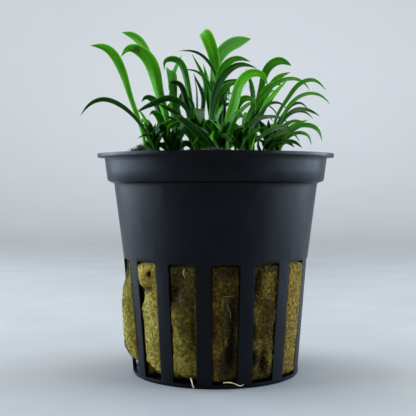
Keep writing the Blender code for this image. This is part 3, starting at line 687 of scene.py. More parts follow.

# A leaf has its shade, the width of its blade, the part of its length at which the blade starts, the
# roll of the blade about its own run in degrees, and the points that it passes through after its foot.
# The shade is partly the leaf's own green and partly painted light and shade: bright where light comes
# through the leaf from behind, dark where other leaves shade it
BRIGHT, MIDDLE, DARK, PALE = "bright", "middle", "dark", "pale"
LEAVES = {
    "plant_1": (
        (BRIGHT, 2.2, 0.42, 75, (-16.6, -4.0, 54.8), (-19.4, -4.5, 63.6), (-21.7, -5.0, 70.6),
         (-25.2, -5.5, 75.0), (-28.5, -6.0, 75.4)),
        (DARK, 1.2, 0.25, 60, (-15.4, -6.0, 54.9), (-18.4, -6.8, 59.1), (-22.0, -7.2, 62.0),
         (-25.6, -7.6, 63.0), (-28.5, -7.8, 61.8), (-30.5, -8.0, 59.3)),
        (BRIGHT, 1.2, 0.1, 60, (-15.6, -1.0, 55.7), (-16.9, -0.6, 59.6), (-18.2, -0.4, 61.6)),
        (MIDDLE, 1.4, 0.3, 20, (-14.6, 1.5, 55.0), (-16.8, 5.5, 59.5), (-18.6, 9.5, 58.5)),
    ),
    "plant_2": (
        (BRIGHT, 3.4, 0.34, 70, (-11.4, 3.5, 57.6), (-13.7, 3.6, 66.5), (-15.3, 3.4, 72.3),
         (-17.6, 3.0, 75.2), (-20.5, 2.6, 76.1), (-22.4, 2.2, 74.0)),
        (BRIGHT, 2.8, 0.48, 70, (-12.6, 8.0, 60.5), (-14.5, 9.5, 67.2), (-16.2, 10.2, 74.0),
         (-18.4, 10.8, 78.5), (-20.8, 11.4, 80.6), (-23.3, 12.0, 81.5)),
        (MIDDLE, 3.2, 0.44, 0, (-9.2, 2.4, 58.0), (-10.1, 2.2, 65.5), (-10.6, 2.4, 69.8),
         (-11.0, 4.4, 71.2), (-11.2, 6.4, 70.2)),
        (BRIGHT, 1.5, 0.4, 60, (-10.9, 7.4, 65.6), (-10.3, 8.6, 71.0), (-8.2, 9.0, 75.6)),
        (DARK, 1.7, 0.15, 20, (-12.0, -3.5, 56.6), (-12.9, -5.5, 57.2), (-13.4, -8.0, 55.0)),
        (DARK, 1.5, 0.15, 20, (-11.0, -4.5, 53.8), (-11.9, -8.5, 55.4), (-12.3, -11.5, 54.4)),
    ),
    "plant_3": (
        (DARK, 1.7, 0.32, 60, (-6.3, 0.2, 60.5), (-8.9, 0.6, 63.5), (-11.7, 0.8, 64.0), (-14.3, 0.9, 63.0),
         (-16.6, 1.1, 62.0), (-19.0, 1.4, 60.5)),
        (DARK, 1.2, 0.3, 60, (-6.6, -3.6, 57.5), (-9.3, -4.2, 60.3), (-13.6, -4.8, 62.4)),
        (MIDDLE, 2.3, 0.4, 70, (-5.9, 4.0, 63.4), (-7.2, 4.4, 69.5), (-9.7, 4.2, 73.6), (-11.9, 4.0, 73.3),
         (-12.2, 3.8, 71.0)),
        (MIDDLE, 1.7, 0.15, 30, (-6.2, -7.0, 55.6), (-8.0, -8.0, 57.4), (-10.2, -8.5, 56.6),
         (-10.9, -9.0, 54.3)),
        (DARK, 2.5, 0.2, 0, (-3.8, -5.0, 57.2), (-3.7, -8.0, 60.6), (-3.5, -12.0, 59.6),
         (-3.3, -15.0, 57.0)),
        (MIDDLE, 1.5, 0.25, 60, (-2.8, 0.8, 63.8), (-2.6, 1.0, 67.8), (-3.9, 0.6, 71.2),
         (-5.6, 0.0, 74.4)),
        (DARK, 1.5, 0.25, 70, (-4.4, 2.5, 63.0), (-4.6, 6.0, 67.0), (-5.2, 7.0, 70.6)),
    ),
    "plant_4": (
        (BRIGHT, 2.7, 0.0, 70, (2.7, -8.4, 55.6), (4.5, -9.0, 62.8), (6.1, -9.3, 67.1), (8.5, -9.8, 68.6),
         (10.4, -10.2, 68.0), (11.5, -10.5, 65.9)),
        (DARK, 1.8, 0.1, 60, (-1.8, -11.0, 52.9), (-4.0, -12.0, 55.2), (-6.2, -12.3, 57.3),
         (-9.0, -12.6, 59.2)),
        (DARK, 2.0, 0.25, 60, (0.2, -4.0, 65.4), (2.7, -4.2, 69.6), (5.6, -4.2, 71.2), (9.5, -4.4, 70.4)),
        (MIDDLE, 1.8, 0.42, 60, (0.4, -3.4, 59.0), (0.4, -1.4, 66.5), (2.6, -0.6, 72.0), (5.0, -0.4, 73.2),
         (8.2, -0.6, 72.4)),
        (DARK, 1.7, 0.3, 60, (1.9, 0.0, 60.0), (0.6, 2.6, 67.5), (-1.9, 3.0, 73.0), (-4.7, 3.2, 75.2),
         (-8.7, 3.2, 75.6)),
        (DARK, 1.2, 0.3, 50, (2.2, -7.0, 61.0), (2.8, -7.4, 64.6), (4.6, -7.6, 63.2)),
        (MIDDLE, 1.2, 0.2, 50, (-0.4, -9.0, 54.5), (-0.8, -13.0, 55.0), (-0.6, -17.0, 53.2)),
    ),
    "plant_5": (
        (MIDDLE, 2.3, 0.5, 65, (9.6, 4.0, 61.6), (11.2, 5.2, 68.0), (12.8, 5.8, 72.0), (15.3, 6.0, 73.5),
         (18.3, 6.0, 72.4)),
        (BRIGHT, 1.6, 0.45, 60, (11.3, 8.0, 63.3), (13.3, 8.2, 67.4), (15.0, 8.4, 69.6),
         (18.3, 8.6, 71.2)),
        (MIDDLE, 1.4, 0.05, 60, (7.3, 0.0, 58.6), (11.2, 0.0, 65.0), (15.1, 0.0, 67.9), (18.4, 0.0, 68.5),
         (20.9, -0.2, 67.3), (22.0, -0.4, 65.7)),
        (BRIGHT, 2.0, 0.05, 60, (9.8, -3.0, 58.0), (11.3, -3.4, 61.3), (13.7, -3.6, 64.7),
         (16.7, -3.8, 68.0)),
        (DARK, 1.4, 0.25, 60, (6.4, -9.0, 56.8), (10.9, -10.0, 58.7), (14.4, -10.0, 58.6),
         (16.8, -10.0, 57.1)),
        (MIDDLE, 1.2, 0.25, 60, (8.6, 1.6, 60.0), (8.7, 1.4, 66.0), (7.0, 1.0, 71.2)),
        (MIDDLE, 1.6, 0.3, 20, (6.6, 7.2, 56.5), (8.0, 13.0, 61.5), (9.5, 18.0, 59.5)),
    ),
    "plant_6": (
        (MIDDLE, 1.3, 0.35, 60, (14.0, -5.4, 59.3), (16.8, -5.2, 63.9), (19.6, -5.0, 67.0),
         (22.3, -5.0, 67.6), (25.3, -5.0, 65.2)),
        (MIDDLE, 1.15, 0.3, 60, (15.0, -9.0, 58.8), (17.7, -9.0, 62.7), (20.7, -9.0, 64.1),
         (23.2, -9.0, 63.8), (25.7, -9.0, 61.7)),
        (DARK, 1.25, 0.35, 60, (14.9, -12.0, 57.9), (17.6, -12.2, 60.2), (19.8, -12.2, 60.3),
         (23.0, -12.4, 58.8)),
        (BRIGHT, 1.2, 0.3, 60, (15.2, -2.4, 54.9), (18.1, -2.0, 57.4), (21.5, -2.0, 58.8)),
        (MIDDLE, 1.35, 0.3, 60, (15.0, -10.4, 54.2), (17.6, -10.6, 56.5), (19.9, -10.6, 57.0),
         (22.5, -10.4, 56.1), (23.7, -10.2, 53.4)),
        (DARK, 1.5, 0.2, 60, (9.9, -13.0, 54.2), (12.3, -14.4, 55.7), (15.5, -14.8, 56.1),
         (17.7, -15.0, 53.8)),
        (DARK, 1.2, 0.2, 60, (14.2, -12.6, 53.4), (15.6, -13.4, 53.2), (17.2, -14.2, 51.9)),
    ),
    "plant_7": (
        (BRIGHT, 3.2, 0.5, -60, (1.0, 10.0, 64.6), (0.0, 9.6, 73.0), (-1.7, 9.2, 79.0), (-2.9, 10.6, 81.2),
         (-3.9, 13.2, 80.6)),
        (PALE, 3.5, 0.5, 70, (-0.4, 14.0, 71.0), (1.0, 14.4, 76.0), (3.7, 14.6, 78.6), (8.9, 15.0, 80.4)),
        (MIDDLE, 1.5, 0.3, 60, (-1.7, 8.0, 65.5), (-2.1, 6.4, 69.6), (-3.0, 5.6, 72.9)),
        (DARK, 1.7, 0.3, 10, (2.0, 16.0, 62.0), (2.6, 20.0, 69.0), (3.2, 25.0, 70.0), (3.6, 28.0, 66.5)),
        (MIDDLE, 2.0, 0.3, 20, (-3.5, 15.0, 60.0), (-8.0, 19.0, 65.0), (-12.0, 22.0, 64.0),
         (-14.0, 24.0, 60.5)),
        (MIDDLE, 2.0, 0.3, 20, (5.0, 14.5, 60.0), (9.5, 17.5, 64.5), (14.5, 20.0, 63.5),
         (17.0, 21.5, 59.5)),
        (DARK, 1.5, 0.3, 20, (-0.5, 17.0, 57.0), (-2.0, 22.0, 60.0), (-3.0, 26.0, 57.5)),
    ),
}

# Smaller leaves that stand by a leaf: its number, their size as a share of it, and how far they are
# turned from it round its foot, in degrees
SIDE_LEAVES = {
    "plant_1": ((3, 0.75, 25),),
    "plant_2": ((1, 0.55, -14), (1, 0.40, 20), (3, 0.72, 14), (3, 0.55, -20), (4, 0.70, -16), (5, 1.00, 22),
                (6, 0.85, 18), (6, 0.95, -24)),
    "plant_3": ((1, 0.60, 16), (1, 0.45, -20), (2, 0.80, -14), (3, 0.75, 12), (3, 0.60, -14), (4, 0.90, 20),
                (5, 0.75, 24), (5, 0.80, -26), (6, 0.80, 14), (7, 0.85, -12), (7, 0.55, 30)),
    "plant_4": ((1, 0.70, 16), (1, 0.50, -24), (2, 0.80, -15), (2, 0.70, 22), (3, 0.80, 14), (3, 0.55, -30),
                (4, 0.75, -12), (5, 0.80, 12), (6, 0.90, -22), (7, 0.90, 24), (7, 0.80, -30)),
    "plant_5": ((1, 0.75, -12), (1, 0.50, 24), (2, 0.80, 12), (3, 0.70, 12), (3, 0.50, -26), (4, 0.75, -14),
                (5, 0.80, 16), (5, 0.75, -24), (6, 0.80, 18), (7, 0.80, -16)),
    "plant_6": ((1, 0.70, 10), (2, 0.70, -12), (3, 0.75, 14), (4, 0.80, -14), (5, 0.75, 12), (6, 0.85, 14),
                (7, 1.00, 20)),
    "plant_7": ((1, 0.60, 14), (2, 0.65, -12), (3, 0.85, 12), (4, 0.75, 14), (5, 0.75, -14), (6, 0.75, 14),
                (7, 0.90, -16)),
}
# The side leaves' greens in turn, mostly dark: partly their own green, partly painted shade in the dense
# base
SIDE_SHADES = (DARK, MIDDLE, DARK, DARK)
SIDE_STEP = 0.5
SIDE_WIDTH = (0.35, 0.5)
SIDE_START = 0.6
SIDE_SEED = 4
BRUISED_LEAF = "plant_2_leaf_1"
BRUISE = (-18.6, 2.6, 75.9)
BRUISE_BROWN = (0.055, 0.050, 0.012)

# The colours of each shade: petiole, blade, the darker drifts in the blade, and its margin. Bright and pale
# are partly painted light through the leaf, and dark is partly painted shade
LEAF_GREENS_AND_PAINTED_LIGHT = {
    BRIGHT: ((0.110, 0.370, 0.006), (0.076, 0.350, 0.004), (0.026, 0.170, 0.003), (0.170, 0.500, 0.014)),
    MIDDLE: ((0.060, 0.270, 0.005), (0.032, 0.210, 0.004), (0.010, 0.085, 0.002), (0.085, 0.340, 0.010)),
    DARK: ((0.022, 0.120, 0.004), (0.008, 0.060, 0.003), (0.003, 0.022, 0.002), (0.026, 0.130, 0.007)),
    PALE: ((0.120, 0.380, 0.030), (0.110, 0.330, 0.050), (0.055, 0.220, 0.025), (0.170, 0.430, 0.080)),
}


def leaf_blank(rings, sides):
    """A closed round tube of many rings, 1 mm apart, from which leaves are laid out."""
    blank = turned("leaf_blank", sides, [(1.0, ring) for ring in range(rings + 1)])
    pick(blank)
    bpy.ops.object.mode_set(mode="EDIT")
    bpy.ops.mesh.select_all(action="DESELECT")
    bpy.ops.mesh.select_non_manifold()
    bpy.ops.mesh.edge_face_add()
    bpy.ops.mesh.select_all(action="SELECT")
    bpy.ops.mesh.normals_make_consistent(inside=False)
    bpy.ops.object.mode_set(mode="OBJECT")
    bpy.ops.object.shade_smooth()
    return blank


def spline_run(points, parts):
    """Places at parts of the length, from 0 to 1, of the cubic spline through the points."""
    stops = np.array(points, dtype=float)
    runs = np.linalg.norm(np.diff(stops, axis=0), axis=1)
    knots = np.concatenate(([0.0], np.cumsum(runs)))
    count = len(stops)
    system = np.eye(count)
    bends = np.zeros((count, 3))
    for i in range(1, count - 1):
        system[i, i - 1:i + 2] = (runs[i - 1], 2 * (runs[i - 1] + runs[i]), runs[i])
        bends[i] = 6 * ((stops[i + 1] - stops[i]) / runs[i] - (stops[i] - stops[i - 1]) / runs[i - 1])
    curve = np.linalg.solve(system, bends)
    places = []
    for place in parts * knots[-1]:
        i = min(int(np.searchsorted(knots, place, side="right")) - 1, count - 2)
        after, before, run = place - knots[i], knots[i + 1] - place, runs[i]
        places.append(Vector(
            (curve[i] * before ** 3 + curve[i + 1] * after ** 3) / (6 * run)
            + (stops[i] / run - curve[i] * run / 6) * before
            + (stops[i + 1] / run - curve[i + 1] * run / 6) * after))
    return places


def leaf_form(part, blade, start):
    """Half width and thickness of a leaf at a part of its length, and how far it is a blade there."""
    petiole = PETIOLE_LEAST + PETIOLE_SHARE * blade
    swell = EARLY_SWELL * ease(part, 0.06, start + EARLY_GROWTH) + (1.0 - EARLY_SWELL) * ease(
        part, start, start + BLADE_GROWTH)
    taper = max(BLADE_TAPER, start + BLADE_GROWTH)
    point = 1.0 - max(0.0, (part - taper) / (1.0 - taper)) ** 2.0
    half = 0.5 * (petiole + (blade - petiole) * swell) * max(point, 0.03)
    depth = PETIOLE_DEPTH * petiole
    thick = (depth + (BLADE_THICKNESS - depth) * swell) * max(point ** 0.5, 0.12)
    return half, thick, swell


def lay_leaf(blank, name, route, blade, start, roll, seed):
    """Lay a copy of the blank along a route, round at the petiole and keeled at the blade."""
    leaf = blank.copy()
    leaf.data = blank.data.copy()
    leaf.name = name
    bpy.context.collection.objects.link(leaf)
    rings = round(max(vert.co.z for vert in leaf.data.vertices) / MM)
    parts = np.linspace(0, 1, rings + 1)
    places = spline_run(route, parts)
    reach = places[-1] - places[0]
    side = Vector((0, 0, 1)).cross(Vector((reach.x, reach.y, 0))).normalized()
    frames = []
    for i, part in enumerate(parts):
        ahead = (places[min(i + 1, rings)] - places[max(i - 1, 0)]).normalized()
        side = (side - ahead * side.dot(ahead)).normalized()
        turned_side = side.copy()
        turned_side.rotate(Matrix.Rotation(radians(roll) * ease(part, 0.0, ROLL_END), 3, ahead))
        frames.append((turned_side, ahead.cross(turned_side)))
    blade_place = leaf.data.attributes.new("blade_place", "FLOAT_VECTOR", "POINT")
    for index, vert in enumerate(leaf.data.vertices):
        ring = round(vert.co.z / MM)
        turn = atan2(vert.co.y, vert.co.x)
        part = parts[ring]
        half, thick, swell = leaf_form(part, blade, start)
        out, up = cos(turn), sin(turn)
        rim = 1.0 - 0.7 * swell * abs(out) ** 1.6
        keel = (0.9 if up < 0 else -0.5) * swell * exp(-(out / 0.2) ** 2)
        groove = 0.3 * (1.0 - swell) * exp(-(out / 0.45) ** 2) if up > 0 else 0.0
        rise = 0.5 * thick * up * (rim + keel - groove)
        channel = BLADE_CHANNEL * half * abs(out) ** 1.4
        wave = 0.045 * half * out * sin(2 * pi * (2.3 * part + 0.37 * seed)) * (1.0 - part)
        side_way, face_way = frames[ring]
        vert.co = (places[ring] + side_way * half * out + face_way * (rise + swell * (channel + wave))) * MM
        blade_place.data[index].vector = (out, part, seed)
    return leaf


def leaf_material(shade, bruise=None):
    """Living leaf: paler petiole, margin and midrib, lengthwise veins, darker drifts and a waxy gloss."""
    petiole, blade, drift, margin = LEAF_GREENS_AND_PAINTED_LIGHT[shade]
    name = "leaf_" + shade + ("_bruised" if bruise else "")
    surface, tree, shader, place = new_material(name, specular=0.10)
    blade_place = read(tree, "blade_place", "Vector")
    split = tree.nodes.new("ShaderNodeSeparateXYZ")
    tree.links.new(blade_place, split.inputs["Vector"])
    middle = tree.nodes.new("ShaderNodeMath")
    middle.operation = "ABSOLUTE"
    tree.links.new(split.outputs["X"], middle.inputs[0])
    across, along = middle.outputs["Value"], split.outputs["Y"]
    drifts = noise_field(tree, place, 190, 4)
    veins = noise_field(tree, blade_place, 3.2, 3, (2.4, 0.9, 1.7))
    colour = blend_colours(tree, spread(tree, drifts, 0.0, 0.8), blade, drift)
    colour = blend_colours(tree, spread(tree, veins, 0.0, 0.75, 0.36, 0.62), colour, drift)
    # The paler margin is partly the leaf's own and partly painted light shining through the thin edge
    colour = blend_colours(tree, spread(tree, across, 0.0, 0.65, 0.62, 1.0), colour, margin)
    colour = blend_colours(tree, spread(tree, across, 0.35, 0.0, 0.02, 0.2), colour, petiole)
    colour = blend_colours(tree, spread(tree, along, 1.0, 0.0, 0.08, 0.5), colour, petiole)
    if bruise:
        far = tree.nodes.new("ShaderNodeVectorMath")
        far.operation = "DISTANCE"
        far.inputs[1].default_value = Vector(bruise) * MM
        tree.links.new(place, far.inputs[0])
        ring = spread(tree, far.outputs["Value"], 0.85, 0.0, 0.3 * MM, 1.3 * MM)
        colour = blend_colours(tree, ring, colour, BRUISE_BROWN)
    tree.links.new(colour, shader.inputs["Base Color"])
    tree.links.new(spread(tree, drifts, 0.34, 0.48), shader.inputs["Roughness"])
    add_bump(tree, shader, veins, 0.08, 0.35)
    add_bump(tree, shader, noise_field(tree, place, 1500, 2), 0.015, 0.2)
    shader.inputs["Subsurface Weight"].default_value = 0.12
    shader.inputs["Subsurface Radius"].default_value = (0.4, 1.0, 0.12)
    shader.inputs["Subsurface Scale"].default_value = 0.6 * MM
    return surface


def foot_of(node):
    """Middle of the lowest ring of a leaf's solid, in mm."""
    places = np.array([vert.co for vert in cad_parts[node].data.vertices]) / MM
    return tuple(places[places[:, 2] < places[:, 2].min() + 0.05].mean(axis=0))


def side_route(foot, stops, share, turn):
    """Run of a smaller leaf that stands by one, turned round its foot and a step to the side."""
    foot = Vector(foot)
    swing = Matrix.Rotation(radians(turn), 3, "Z")
    reach = Vector(stops[-1]) - foot
    step = Vector((-reach.y, reach.x, 0)).normalized() * (SIDE_STEP if turn > 0 else -SIDE_STEP)
    return [foot + step] + [foot + step + swing @ (Vector(stop) - foot) * share for stop in stops]


leaf_surfaces = {shade: leaf_material(shade) for shade in LEAF_GREENS_AND_PAINTED_LIGHT}
bruised_surface = leaf_material(BRIGHT, BRUISE)
blank = leaf_blank(LEAF_RINGS, LEAF_SIDES)
for plant, leaves in LEAVES.items():
    for number, (shade, width, start, roll, *stops) in enumerate(leaves, start=1):
        node = f"{plant}_leaf_{number}"
        foot = foot_of(node)
        leaf = lay_leaf(blank, node + "_grown", (foot, *stops), width, start, roll, number)
        finish_with(leaf, "SUBSURF", levels=1, render_levels=1)
        leaf.data.materials.append(bruised_surface if node == BRUISED_LEAF else leaf_surfaces[shade])
        for beside, share, turn in SIDE_LEAVES[plant]:
            if beside != number:
                continue
            route = side_route(foot, stops, share, turn)
            narrow = (SIDE_WIDTH[0] + SIDE_WIDTH[1] * share) * width
            small = lay_leaf(
                blank, "side_leaf", route, narrow, SIDE_START * start, roll, number + SIDE_SEED)
            small.data.materials.append(leaf_surfaces[SIDE_SHADES[(number + int(turn)) % len(SIDE_SHADES)]])
            pick(leaf)
            small.select_set(True)
            bpy.ops.object.join()
        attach(leaf, "root")
        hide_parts(node)
bpy.data.objects.remove(blank)


# Crowns: the short stem that each plantlet's leaves grow from. Its youngest leaves stand close round
# it, still rolled, and older small ones lean out low over the wool, some paler and most dark, the dark
# ones partly painted shade among the dense leaves at the base.
CROWN_FOOT = WOOL_TOP + 0.1
YOUNG_RINGS = 14
YOUNG_SIDES = 10
YOUNG_WIDTH = 1.2
YOUNG_START = 0.05
YOUNG_ROLL = 25
YOUNG_STEP = 0.11
LOW_LEAVES = 27
LOW_START = 0.0
LOW_ROLL = 50

# The least lean, height and width of the low leaves, in mm, and how far each varies
LOW_LEAN = (1.8, 2.7)
LOW_HEIGHT = (2.8, 5.2)
LOW_WIDTH = (1.5, 0.4)

# Each crown's place, how many young leaves it has, how far they spread, the tallest one's height, and
# the heading of the first
CROWNS = {
    "plant_1": ((-14.4, -3.0), 4, 2.0, 7.5, 54),
    "plant_2": ((-10.0, 3.5), 5, 2.1, 8.5, 0),
    "plant_3": ((-4.0, -1.5), 5, 2.2, 8.5, 36),
    "plant_4": ((1.4, -6.5), 5, 2.2, 8.5, 36),
    "plant_5": ((7.0, 2.0), 5, 2.2, 8.5, 12),
    "plant_6": ((12.6, -7.0), 5, 2.2, 7.0, 22),
    "plant_7": ((1.0, 12.0), 4, 2.0, 8.0, 0),
}
# The crown leaves' greens in turn; the dark ones are partly painted shade among the dense leaves
YOUNG_SHADES = (MIDDLE, DARK, MIDDLE, DARK, DARK, MIDDLE, DARK)


def young_route(place, heading, spread_out, height):
    """Foot, knee and tip of a young leaf that leans out from its crown."""
    aim = Vector((cos(heading), sin(heading), 0.0))
    middle = Vector((*place, CROWN_FOOT))
    knee = middle + aim * (0.35 + 0.2 * spread_out) + Vector((0, 0, 0.55 * height))
    return middle + aim * 0.35, knee, middle + aim * spread_out + Vector((0, 0, height))


blank = leaf_blank(YOUNG_RINGS, YOUNG_SIDES)
for plant, (place, count, spread_out, tallest, first) in CROWNS.items():
    young = []
    for number in range(count):
        heading = radians(first + 360.0 * number / count)
        route = young_route(place, heading, spread_out, tallest * (1.0 - YOUNG_STEP * number))
        young.append(lay_leaf(blank, "young", route, YOUNG_WIDTH, YOUNG_START, YOUNG_ROLL, number))
    for number in range(LOW_LEAVES):
        heading = radians(first + 360.0 * (number + 0.5) / LOW_LEAVES)
        lean = LOW_LEAN[0] + LOW_LEAN[1] * abs(sin(3.1 * number + first))
        height = LOW_HEIGHT[0] + LOW_HEIGHT[1] * abs(sin(2.3 * number + first))
        route = young_route(place, heading, lean, height)
        width = LOW_WIDTH[0] + LOW_WIDTH[1] * sin(number)
        young.append(lay_leaf(blank, "young", route, width, LOW_START, LOW_ROLL, number))
    for number, leaf in enumerate(young):
        leaf.data.materials.append(leaf_surfaces[YOUNG_SHADES[number % len(YOUNG_SHADES)]])
    pick(young[0])
    for leaf in young[1:]:
        leaf.select_set(True)
    bpy.ops.object.join()
    crown = bpy.context.object
    crown.name = plant + "_young_leaves"
    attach(crown, "root")
    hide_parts(plant + "_crown")
bpy.data.objects.remove(blank)


# Roots: two cream feeder roots that have grown out of the wool through the slots at the pot's foot,
# and a fine red-brown one that runs down the wool at the left. They taper to a blunt tip.
ROOT_POINTS = 30

# A root has its radius, its dark and its pale colour, and the points that it passes through, in mm
ROOTS = {
    "root_1": (0.15, (0.50, 0.42, 0.20), (0.74, 0.68, 0.42), (
        (1.7, -19.5, 1.5), (2.8, -20.1, 1.72), (4.4, -20.3, 1.35), (5.4, -20.1, 1.0), (6.0, -20.0, 1.3))),
    "root_2": (0.15, (0.46, 0.38, 0.18), (0.70, 0.62, 0.36), (
        (-5.3, -19.0, 2.4), (-5.05, -19.9, 1.75), (-4.85, -20.3, 1.1), (-4.6, -20.4, 0.5))),
    "root_3": (0.16, (0.13, 0.028, 0.012), (0.30, 0.095, 0.040), (
        on_wool(-163.0, 8.4, 0.02), on_wool(-162.4, 6.2, 0.08), on_wool(-161.6, 3.9, 0.04))),
}


def root_material(name, dark, pale):
    """Root skin: mottled, satin, and slightly see-through at the surface."""
    surface, tree, shader, place = new_material(name, 0.45)
    mottle = noise_field(tree, place, 1100, 4)
    tree.links.new(ramp(tree, mottle, ((0.35, dark), (0.65, pale))), shader.inputs["Base Color"])
    shader.inputs["Subsurface Weight"].default_value = 0.2
    shader.inputs["Subsurface Scale"].default_value = 0.4 * MM
    add_bump(tree, shader, noise_field(tree, place, 3000, 3), 0.04, 0.4)
    return surface


def grow_root(name, radius, stops):
    """A round tube along a smooth run, which thins towards its tip."""
    curve = bpy.data.curves.new(name, "CURVE")
    curve.dimensions = "3D"
    curve.bevel_depth = radius * MM
    curve.bevel_resolution = 4
    curve.use_fill_caps = True
    line = curve.splines.new("POLY")
    line.points.add(ROOT_POINTS - 1)
    for number, place in enumerate(spline_run(stops, np.linspace(0, 1, ROOT_POINTS))):
        part = number / (ROOT_POINTS - 1)
        line.points[number].co = (*(place * MM), 1.0)
        line.points[number].radius = (1.0 - 0.35 * part) * (1.0 - 0.7 * max(0.0, (part - 0.9) / 0.1) ** 2)
    grown = bpy.data.objects.new(name, curve)
    bpy.context.collection.objects.link(grown)
    pick(grown)
    bpy.ops.object.convert(target="MESH")
    grown = bpy.context.object
    bpy.ops.object.mode_set(mode="EDIT")
    bpy.ops.mesh.select_all(action="SELECT")
    bpy.ops.mesh.remove_doubles(threshold=0.001 * MM)
    bpy.ops.object.mode_set(mode="OBJECT")
    bpy.ops.object.shade_smooth()
    return grown


for name, (radius, dark, pale, stops) in ROOTS.items():
    grown = grow_root(name + "_grown", radius, stops)
    grown.data.materials.append(root_material(name + "_skin", dark, pale))
    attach(grown, "root")
    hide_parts(name)


# Moss and loose wool: a small heap of brown and green moss has settled on the wool at the left, and a
# tuft of grey wool stands up near the front of the lip. Both are tangles of short curled strands.
STRAND_STEP = 0.24

# A tangle has its number of strands, their thickness in mm, its slot, and its colours from dark to pale
TANGLES = {
    "moss_heap": (850, 0.060, "moss_brown", (
        (0.007, 0.006, 0.003), (0.016, 0.030, 0.004), (0.060, 0.110, 0.014))),
    "wool_tuft": (800, 0.045, "rock_wool", (
        (0.008, 0.010, 0.006), (0.024, 0.028, 0.014), (0.090, 0.095, 0.055))),
}


def tangle_material(name, shades):
    """Matt strands that change colour from one clump to the next."""
    surface, tree, shader, place = new_material(name, 0.85)
    clumps = noise_field(tree, place, 700, 3)
    tree.links.new(
        ramp(tree, clumps, ((0.35, shades[0]), (0.5, shades[1]), (0.68, shades[2]))),
        shader.inputs["Base Color"])
    add_bump(tree, shader, noise_field(tree, place, 4000, 2), 0.04, 0.5)
    return surface


def tangle_path(middle, half, foot):
    """A curled strand inside a low heap."""
    turn, reach = chance.uniform(0, 2 * pi), chance.uniform(0, 0.95) ** 0.6
    place = Vector((middle.x + half.x * reach * cos(turn), middle.y + half.y * reach * sin(turn), foot))
    lumps = 0.72 + 0.55 * noise.noise(place * 1.3)
    crest = foot + 2 * half.z * lumps * (1 - reach * reach) ** 0.5
    place.z = chance.uniform(foot - 0.3, crest - 0.1)
    aim = Vector((chance.normal(), chance.normal(), chance.uniform(-0.2, 0.9))).normalized()
    bend = Vector(chance.normal(size=3)) * 0.5
    path = []
    for step in range(FIBRE_POINTS):
        path.append(tuple(place))
        place = place + (aim + bend * step * 0.3).normalized() * STRAND_STEP
        place.z = min(place.z, crest + 0.35)
    return path


for name, (count, thick, slot, shades) in TANGLES.items():
    low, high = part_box(name)
    middle = (low + high) * 0.5 / MM
    half = (high - low) * 0.5 / MM
    paths = [tangle_path(middle, half, low.z / MM) for number in range(count)]
    tangle = strands(name + "_strands", np.array(paths), thick * chance.uniform(0.6, 1.6, count))
    tangle.data.materials.append(tangle_material(name + "_tangle", shades))
    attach(tangle, "root")
    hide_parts(name)


# Floor, light and camera: a sheet of pale paper that lies flat under the pot and sweeps up all round
# it, a wide soft light at each side, one above and one on the paper behind, and a camera level with the
# pot's collar. The paper is in mm, and the lights and the camera are in metres.
PAPER_SIDES = 128
FLAT_RINGS = (60, 120, 200, 300, 450)
SWEEP_RADIUS = 500.0
SWEEP_STEPS = 24
PAPER_TOP = 1800.0
# The paper near the pot is painted darker, as shade round it, and is pale further out
NEAR_PAPER_SHADE = ((0.3, (0.30, 0.30, 0.30)), (0.7, (0.33, 0.33, 0.325)))
FAR_PAPER = (0.74, 0.74, 0.74)
CAMERA_DISTANCE = 0.200
CAMERA_HEIGHT = 0.0443
CAMERA_FALL = 1.72
CAMERA_TURN = 0.51
CAMERA_LENS = 73.6
SKY_COLOUR = (0.80, 0.88, 1.0, 1.0)
SKY_STRENGTH = 0.05

# Each light's place, the point it looks at, its width and height, its power in watts and its colour
LIGHTS = {
    "left_light": ((-0.34, 0.05, 0.12), (0, 0, 0.05), 0.40, 0.22, 3.2, (0.68, 0.81, 1.0)),
    "right_light": ((0.34, 0.02, 0.12), (0, 0, 0.05), 0.44, 0.22, 3.0, (0.66, 0.81, 1.0)),
    "top_light": ((0.0, 0.03, 0.40), (0, 0, 0.05), 0.30, 0.30, 1.5, (1.0, 1.0, 0.93)),
    "paper_light": ((0.0, 0.30, 0.60), (0, 0.95, 0.30), 0.70, 0.25, 2.8, (0.95, 0.98, 1.0)),
}


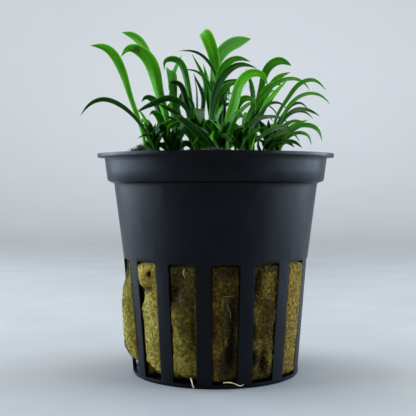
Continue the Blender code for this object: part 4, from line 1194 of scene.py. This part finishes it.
def paper_sweep():
    """A matt sheet, flat under the pot and swept up round it, with painted shade near it, paler further
    out.
    """
    turns = np.linspace(0, 0.5 * pi, SWEEP_STEPS + 1)[1:]
    sweep = [(FLAT_RINGS[-1] + SWEEP_RADIUS * sin(turn), SWEEP_RADIUS * (1 - cos(turn))) for turn in turns]
    rings = [(ring, 0.0) for ring in FLAT_RINGS] + sweep + [(sweep[-1][0], PAPER_TOP)]
    paper = turned("paper_sweep", PAPER_SIDES, rings)
    bpy.ops.object.shade_smooth()
    surface, tree, shader, place = new_material("pale_paper", 0.9, 0.1)
    tone = ramp(tree, noise_field(tree, place, 30, 3), NEAR_PAPER_SHADE)
    far = tree.nodes.new("ShaderNodeVectorMath")
    far.operation = "LENGTH"
    tree.links.new(place, far.inputs[0])
    out = spread(tree, far.outputs["Value"], 0.0, 1.0, 0.25, 0.9)
    tree.links.new(blend_colours(tree, out, tone, FAR_PAPER), shader.inputs["Base Color"])
    paper.data.materials.append(surface)
    return paper


def soft_light(name, place, aim, width, height, power, colour):
    """A soft light with a rectangular face that looks at a point."""
    lamp = bpy.data.lights.new(name, "AREA")
    lamp.shape = "RECTANGLE"
    lamp.size = width
    lamp.size_y = height
    lamp.energy = power
    lamp.color = colour
    light = bpy.data.objects.new(name, lamp)
    light.location = place
    light.rotation_euler = (Vector(aim) - Vector(place)).to_track_quat("-Z", "Y").to_euler()
    bpy.context.collection.objects.link(light)


paper_sweep()
for name, settings in LIGHTS.items():
    soft_light(name, *settings)

world = bpy.context.scene.world or bpy.data.worlds.new("studio")
bpy.context.scene.world = world
world.use_nodes = True
sky = world.node_tree.nodes["Background"]
sky.inputs["Color"].default_value = SKY_COLOUR
sky.inputs["Strength"].default_value = SKY_STRENGTH

lens = bpy.data.cameras.new("camera")
lens.lens = CAMERA_LENS
lens.sensor_width = 36.0
lens.clip_start = 0.005
camera = bpy.data.objects.new("camera", lens)
camera.location = (0.0, -CAMERA_DISTANCE, CAMERA_HEIGHT)
camera.rotation_euler = (radians(90.0 - CAMERA_FALL), 0.0, radians(CAMERA_TURN))
bpy.context.collection.objects.link(camera)
bpy.context.scene.camera = camera
bpy.context.scene.view_settings.view_transform = "Standard"
